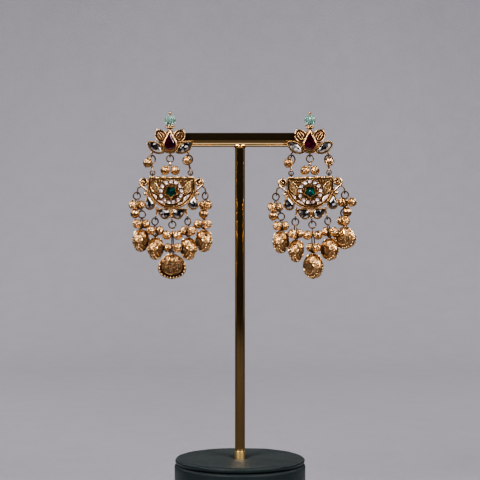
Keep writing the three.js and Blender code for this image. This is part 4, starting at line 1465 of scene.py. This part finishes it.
def section_at(depth):
    """Half the width and half the thickness at a depth, on smooth lines through the sections."""
    rows = drop_sections
    depth = min(max(depth, 0), drop_depth)
    i = max(k for k in range(len(rows) - 1) if rows[k]["depth"] <= depth)
    before, after = rows[max(i - 1, 0)], rows[min(i + 2, len(rows) - 1)]
    a, b = rows[i], rows[i + 1]
    gap = b["depth"] - a["depth"]
    t = (depth - a["depth"]) / gap
    sizes = []
    for key in ("width", "thickness"):
        slope_a = (b[key] - before[key]) / (b["depth"] - before["depth"]) * gap
        slope_b = (after[key] - a[key]) / (after["depth"] - a["depth"]) * gap
        size = (2 * t**3 - 3 * t**2 + 1) * a[key] + (t**3 - 2 * t**2 + t) * slope_a
        size += (-2 * t**3 + 3 * t**2) * b[key] + (t**3 - t**2) * slope_b
        toe = max(0, depth - drop_toe) / (drop_depth - drop_toe)
        sizes.append(size * math.sqrt(1.04 - toe**2))
    return sizes


def smooth_between(low, high, value):
    """0 below low and 1 above high, with an even slope between them."""
    t = min(max((value - low) / (high - low), 0), 1)
    return t * t * (3 - 2 * t)


def on_ray(angle, share):
    """The place (across, down) so far from the fan's middle to its outline, in one direction."""
    step = Vector((math.cos(angle), math.sin(angle)))
    low, high = 0.0, 8.0
    for _ in range(14):
        reach = (low + high) / 2
        x, depth = step.x * reach, fan_middle + step.y * reach
        inside = 0 < depth < drop_depth and abs(x) < section_at(depth)[0]
        low, high = (reach, high) if inside else (low, reach)
    return step.x * low * share, fan_middle + step.y * low * share


outline_reach = [math.dist(on_ray(i * DEG, 1), (0, fan_middle)) for i in range(0, 360, 3)]


def rim_share(x, depth):
    """0 in the middle of the fan and 1 at its outline."""
    angle = math.atan2(depth - fan_middle, x) / DEG % 360 / 3
    i = int(angle)
    here, after = outline_reach[i % 120], outline_reach[(i + 1) % 120]
    return math.hypot(x, depth - fan_middle) / (here + (after - here) * (angle - i))


def eased(corners):
    """Points on a smooth line through the corners."""
    ends = [Vector(corner) for corner in (corners[0], *corners, corners[-1])]
    line = []
    for before, a, b, after in zip(ends, ends[1:], ends[2:], ends[3:]):
        for t in (0, 0.25, 0.5, 0.75):
            spot = a + (b - before) * t / 2 + (before - 2.5 * a + 2 * b - after / 2) * t**2
            line.append(spot + (-before / 2 + 1.5 * a - 1.5 * b + after / 2) * t**3)
    return line


wave_line = eased(wave)


def relief(x, depth):
    """How far the embossing stands above the plain shell or lies below it, and how black it is."""
    share = rim_share(x, depth)
    lower = smooth_between(4.3, 5.4, depth)
    channel = smooth_between(0.69, 0.74, share) * (1 - smooth_between(0.96, 0.99, share))
    field = 1 - smooth_between(0.54, 0.59, share)
    raised = -lower * (0.42 * channel + 0.28 * field)
    from_eye = math.hypot(x / eye["width"], (depth - eye["depth"]) / eye["height"])
    moat = smooth_between(0.6, 0.85, from_eye) * (1 - smooth_between(1.1, 1.5, from_eye))
    pearl = 0.30 * (1 - smooth_between(0.1, 0.75, from_eye))
    from_boss = math.hypot(abs(x) - boss[0], (depth - boss[1] + 0.3) * 0.65)
    hollow = 1 - smooth_between(0.6, 1.25, from_boss)
    here = Vector((abs(x), depth))
    # Black round each wave: patina where the wire meets the shell, and painted shadow beside it.
    wave_shadow_and_patina = 1 - smooth_between(0.5, 0.95, min((spot - here).length for spot in wave_line))
    black = max(lower * channel, 0.8 * lower * field, moat, 0.95 * hollow, 0.95 * wave_shadow_and_patina)
    return raised - 0.30 * moat + pearl - 0.25 * hollow, black


def on_face(x, depth, front, lift=0.0):
    """A point on the front (-1) or back (1) of the shell."""
    width, thickness = section_at(depth)
    share = min(abs(x) / width, 1)
    away = thickness * math.sqrt(max(0.0, 1 - share**2)) + lift
    return Vector((x, front * away, -depth))


def drop_shell(black_left):
    """Both shells in one, with the relief pressed in. black_left is how much of its black it keeps,
    patina and painted shade alike.
    """
    bm = bmesh.new()
    around = 112
    soot_and_shade = bm.verts.layers.float.new("soot_and_shade")
    depths = [0.02, 0.15, 0.4, 0.8] + even(1.1, 11.6, 62) + [11.85, 12.05, 12.2, 12.28]
    rows = []
    for depth in depths:
        width, thickness = section_at(depth)
        row = []
        for i in range(around):
            angle = math.tau * i / around
            x, away = width * math.cos(angle), thickness * math.sin(angle)
            rise, black = relief(x, depth)
            facing = min(1, 2.2 * abs(math.sin(angle)))
            flare = rise * facing
            row.append(bm.verts.new((x, away + (flare if away > 0 else -flare), -depth)))
            # The faces keep some black and the edges by the seam none; what is added lower down is
            # painted shade under the shoulders.
            face = 1 - smooth_between(0.55, 0.9, abs(math.cos(angle)))
            face *= 0.3 + 0.55 * smooth_between(3.2, 5.0, depth)
            row[-1][soot_and_shade] = black_left * max(black * facing, face)
        rows.append([bm.edges.new((row[i - 1], row[i])) for i in range(around)])
    for above, below in zip(rows, rows[1:]):
        bmesh.ops.bridge_loops(bm, edges=above + below)
    bmesh.ops.contextual_create(bm, geom=rows[0])
    bmesh.ops.contextual_create(bm, geom=rows[-1])
    bmesh.ops.recalc_face_normals(bm, faces=bm.faces)
    return bm


def embossing(front):
    """What stands up from one face of the shell."""
    beads = [on_face(*on_ray(angle * DEG, bead_row), front, -0.02) for angle in even(-6, 186, 13)]
    arc_line = [on_face(*on_ray(angle * DEG, raised_arc), front, 0.06) for angle in even(-8, 188, 32)]
    field = []
    for row, depth in enumerate(even(5.0, 9.2, 7)):
        for column in range(-6, 7):
            x = 0.74 * column + (0.37 if row % 2 else 0)
            jitter = noise.noise_vector(Vector((x * 3, depth * 3, front))) * 0.4
            under_wave = depth > 4.5 + 1.0 * smooth_between(1.6, 3.0, abs(x))
            if rim_share(x, depth) < field_edge and under_wave:
                field.append(on_face(x + jitter.x, depth + jitter.y, front, -0.24))
    ring_line = []
    for angle in even(0, 345, 23):
        x = eye["width"] * math.sin(angle * DEG)
        depth = eye["depth"] + eye["height"] * math.cos(angle * DEG)
        ring_line.append(on_face(x, depth, front, 0.02))
    parts = [
        (granules(beads, rim_bead), bright_gold),
        (wire(arc_line, arc_wire, 8), bright_gold),
        (granules(field, field_granule), dark_gold),
        (wire(ring_line, 0.3, 7, closed=True), bright_gold),
    ]
    for hand in (-1, 1):
        line = [on_face(hand * spot.x, spot.y, front, 0.12) for spot in wave_line]
        parts.append((wire(line, wave_wire, 8, end=0.6), bright_gold))
        parts.append((granules([on_face(hand * boss[0], boss[1], front, -0.2)], 0.46, 3), old_gold))
    return parts


def puffed_drop(size, black_left):
    """A whole drop that hangs from 0, 0, 0: shell, seam wire, neck, embossing and loop."""
    seam = [Vector((section_at(depth)[0] - 0.04, 0, -depth)) for depth in even(0.1, 12.25, 40)]
    seam += [Vector((-point.x, 0, point.z)) for point in reversed(seam)]
    neck = [(0, -0.5), (1.6, -0.5), (1.35, -0.12)] + arc((0.95, 0.0), 0.3, -30, 90, 5) + [(0, 0.3)]
    parts = [
        (drop_shell(black_left), old_gold), (wire(seam, 0.2, 8), bright_gold),
        (turned(neck, steps=28), bright_gold), *embossing(-1), *embossing(1),
    ]
    grow = Matrix.Scale(size, 4) @ Matrix.Translation((0, 0, -drop_loop_height / size))
    for part, _ in parts:
        bmesh.ops.transform(part, matrix=grow, verts=part.verts)
    parts.append((ring(0.9, 0.3, (0, 0, 0), segments=24), dark_wire))
    return parts


for (side, number), end in drop_places.items():
    body = f"{side}_drop"
    plan = hang[side]["strings"][number - 1]["drop"]
    place = Matrix.Translation(swing[body] + end) @ Matrix.Rotation(plan["turn"] * DEG, 4, "Z")
    black_left = 0.6 if abs(plan["turn"]) > 20 else 1  # those that hang turned keep less of their black
    made = finished(f"{side}_fan_drop_{number}", puffed_drop(plan["size"], black_left), place)
    fitted(made, body, "antique_gold", f"{side}_puffed_drop_{number}")

# ------------------------------------------------------------------------------------- stage
# A sweep of pale grey cotton makes the floor and turns up into the wall. Two softboxes hang high
# in front and a third washes the sweep. Dim cards at the sides give the tubes their brown edge
# lines, and two small lights behind keep the earrings' backs from going black.
sweep_front, sweep_turn, sweep_top, sweep_width = -1.35, 0.75, 2.6, 3.6  # metres, as all here
sweep_radius = 0.6
earrings_middle, stand_middle = (0, 0, 0.17), (0, 0, 0.15)
pale_grey = (0.30, 0.295, 0.32, 1)
room_grey, room_in_metal = (0.225, 0.225, 0.248, 1), (0.012, 0.012, 0.011, 1)


def cotton_material():
    """Plain woven cotton, with painted shade along its fold lines. What the metal sees of it is a painted
    reflection: bright near the stand and dim away from it.
    """
    material, tree, shader = new_material("pale grey cotton")
    place = put(tree, "TexCoord").outputs["Object"]
    long_folds = put(tree, "Mapping", (("Vector", place), ("Scale", (1.0, 0.35, 0.35)))).outputs[0]
    folds_and_painted_shade = grained(tree, 2.6, 3, 0.45, long_folds)
    mottle = grained(tree, 40, 4, 0.6)
    # Painted shade: the tone follows the fold lines that also raise the bump below.
    tone = mixed(tree, folds_and_painted_shade, (0.235, 0.229, 0.252, 1), (0.285, 0.279, 0.306, 1))
    tone = mixed(tree, ranged(tree, mottle, 0.35, 0.65, 0, 0.12), tone, (0.20, 0.195, 0.21, 1))
    # Painted reflection: glossy rays see the floor bright within about nine centimetres of the stand's
    # middle and dark beyond fifteen.
    flat = put(tree, "Mapping", (("Vector", place), ("Scale", (1.0, 1.0, 0.0)))).outputs[0]
    away = put(tree, "VectorMath", ((0, flat),), operation="LENGTH").outputs["Value"]
    far = ranged(tree, away, 0.09, 0.15)
    painted_reflection = mixed(tree, far, (0.48, 0.47, 0.50, 1), (0.055, 0.052, 0.053, 1))
    tone = mixed(tree, put(tree, "LightPath").outputs["Is Glossy Ray"], tone, painted_reflection)
    weave = sums(tree, "ADD", grained(tree, 900, 2), sums(tree, "MULTIPLY", folds_and_painted_shade, 6.0))
    rough = ranged(tree, mottle, 0.3, 0.7, 0.85, 1.0)
    normal = bumped(tree, 0.25, 0.004, weave)
    patterns = (("Base Color", tone), ("Roughness", rough), ("Normal", normal))
    shaded(tree, shader, patterns, (("Specular IOR Level", 0.0),))
    return material


def softbox(name, place, aim, width, height, power, colour, spread=180):
    """A soft rectangular light that looks at aim. power is in watts, spread in degrees."""
    lamp = bpy.data.lights.new(name, "AREA")
    lamp.shape = "RECTANGLE"
    lamp.size, lamp.size_y = width, height
    lamp.energy, lamp.color, lamp.spread = power, colour, spread * DEG
    box = bpy.data.objects.new(name, lamp)
    box.location = place
    box.rotation_euler = (Vector(aim) - Vector(place)).to_track_quat("-Z", "Y").to_euler()
    bpy.context.collection.objects.link(box)
    return box


line = [(sweep_front, 0.0), (0.0, 0.0), (sweep_turn, 0.0)]
line += arc((sweep_turn, sweep_radius), sweep_radius, -90, 0, 24)
line += [(sweep_turn + sweep_radius, sweep_top)]
bm = bmesh.new()
corners = [bm.verts.new((-sweep_width / 2, y, z)) for y, z in line]
edges = [bm.edges.new(pair) for pair in zip(corners, corners[1:])]
made = bmesh.ops.extrude_edge_only(bm, edges=edges)["geom"]
across = [item for item in made if isinstance(item, bmesh.types.BMVert)]
bmesh.ops.translate(bm, verts=across, vec=(sweep_width, 0, 0))
bmesh.ops.recalc_face_normals(bm, faces=bm.faces)
if bm.faces[0].normal.z < 0:
    bmesh.ops.reverse_faces(bm, faces=bm.faces)
for face in bm.faces:
    face.smooth = True
sweep_mesh = bpy.data.meshes.new("sweep")
bm.to_mesh(sweep_mesh)
sweep_mesh.materials.append(cotton_material())
sweep = bpy.data.objects.new("sweep", sweep_mesh)
bpy.context.collection.objects.link(sweep)

left_place, right_place = (-0.72, -0.85, 0.85), (0.78, -0.75, 0.80)
softbox("left softbox", left_place, earrings_middle, 0.60, 0.60, 16.5, (1.0, 0.95, 0.88))
softbox("right softbox", right_place, earrings_middle, 0.55, 0.60, 13.5, (1.0, 0.96, 0.90))
wash = softbox("wash", (0, 0.85, 2.0), (0, 1.2, 0.3), 2.6, 0.4, 16.5, (0.97, 0.98, 1.0), 140)
wash.visible_glossy = False

for side in (-1, 1):
    card_place, back_place = (side * 1.6, 0.35, 0.2), (side * 0.95, 0.65, 0.9)
    softbox("card", card_place, stand_middle, 1.0, 1.2, 0.45, (1.0, 0.93, 0.85))
    softbox("back light", back_place, stand_middle, 0.5, 0.5, 3.5, (1.0, 0.96, 0.92))

world = bpy.data.worlds.new("dim room")
world.use_nodes = True
tree = world.node_tree
path = put(tree, "LightPath").outputs
seen = mixed(tree, path["Is Glossy Ray"], room_grey, room_in_metal)
seen = mixed(tree, path["Is Camera Ray"], seen, pale_grey)
tree.links.new(seen, tree.nodes["Background"].inputs["Color"])
bpy.context.scene.world = world
bpy.context.scene.view_settings.look = "AgX - High Contrast"

camera = bpy.data.objects.new("camera", bpy.data.cameras.new("camera"))
camera.location = (0, -0.675, 0.13675)
camera.rotation_euler = (90 * DEG, 0, 0)
camera.data.lens = 101.25
camera.data.sensor_width = 36
bpy.context.collection.objects.link(camera)
bpy.context.scene.camera = camera
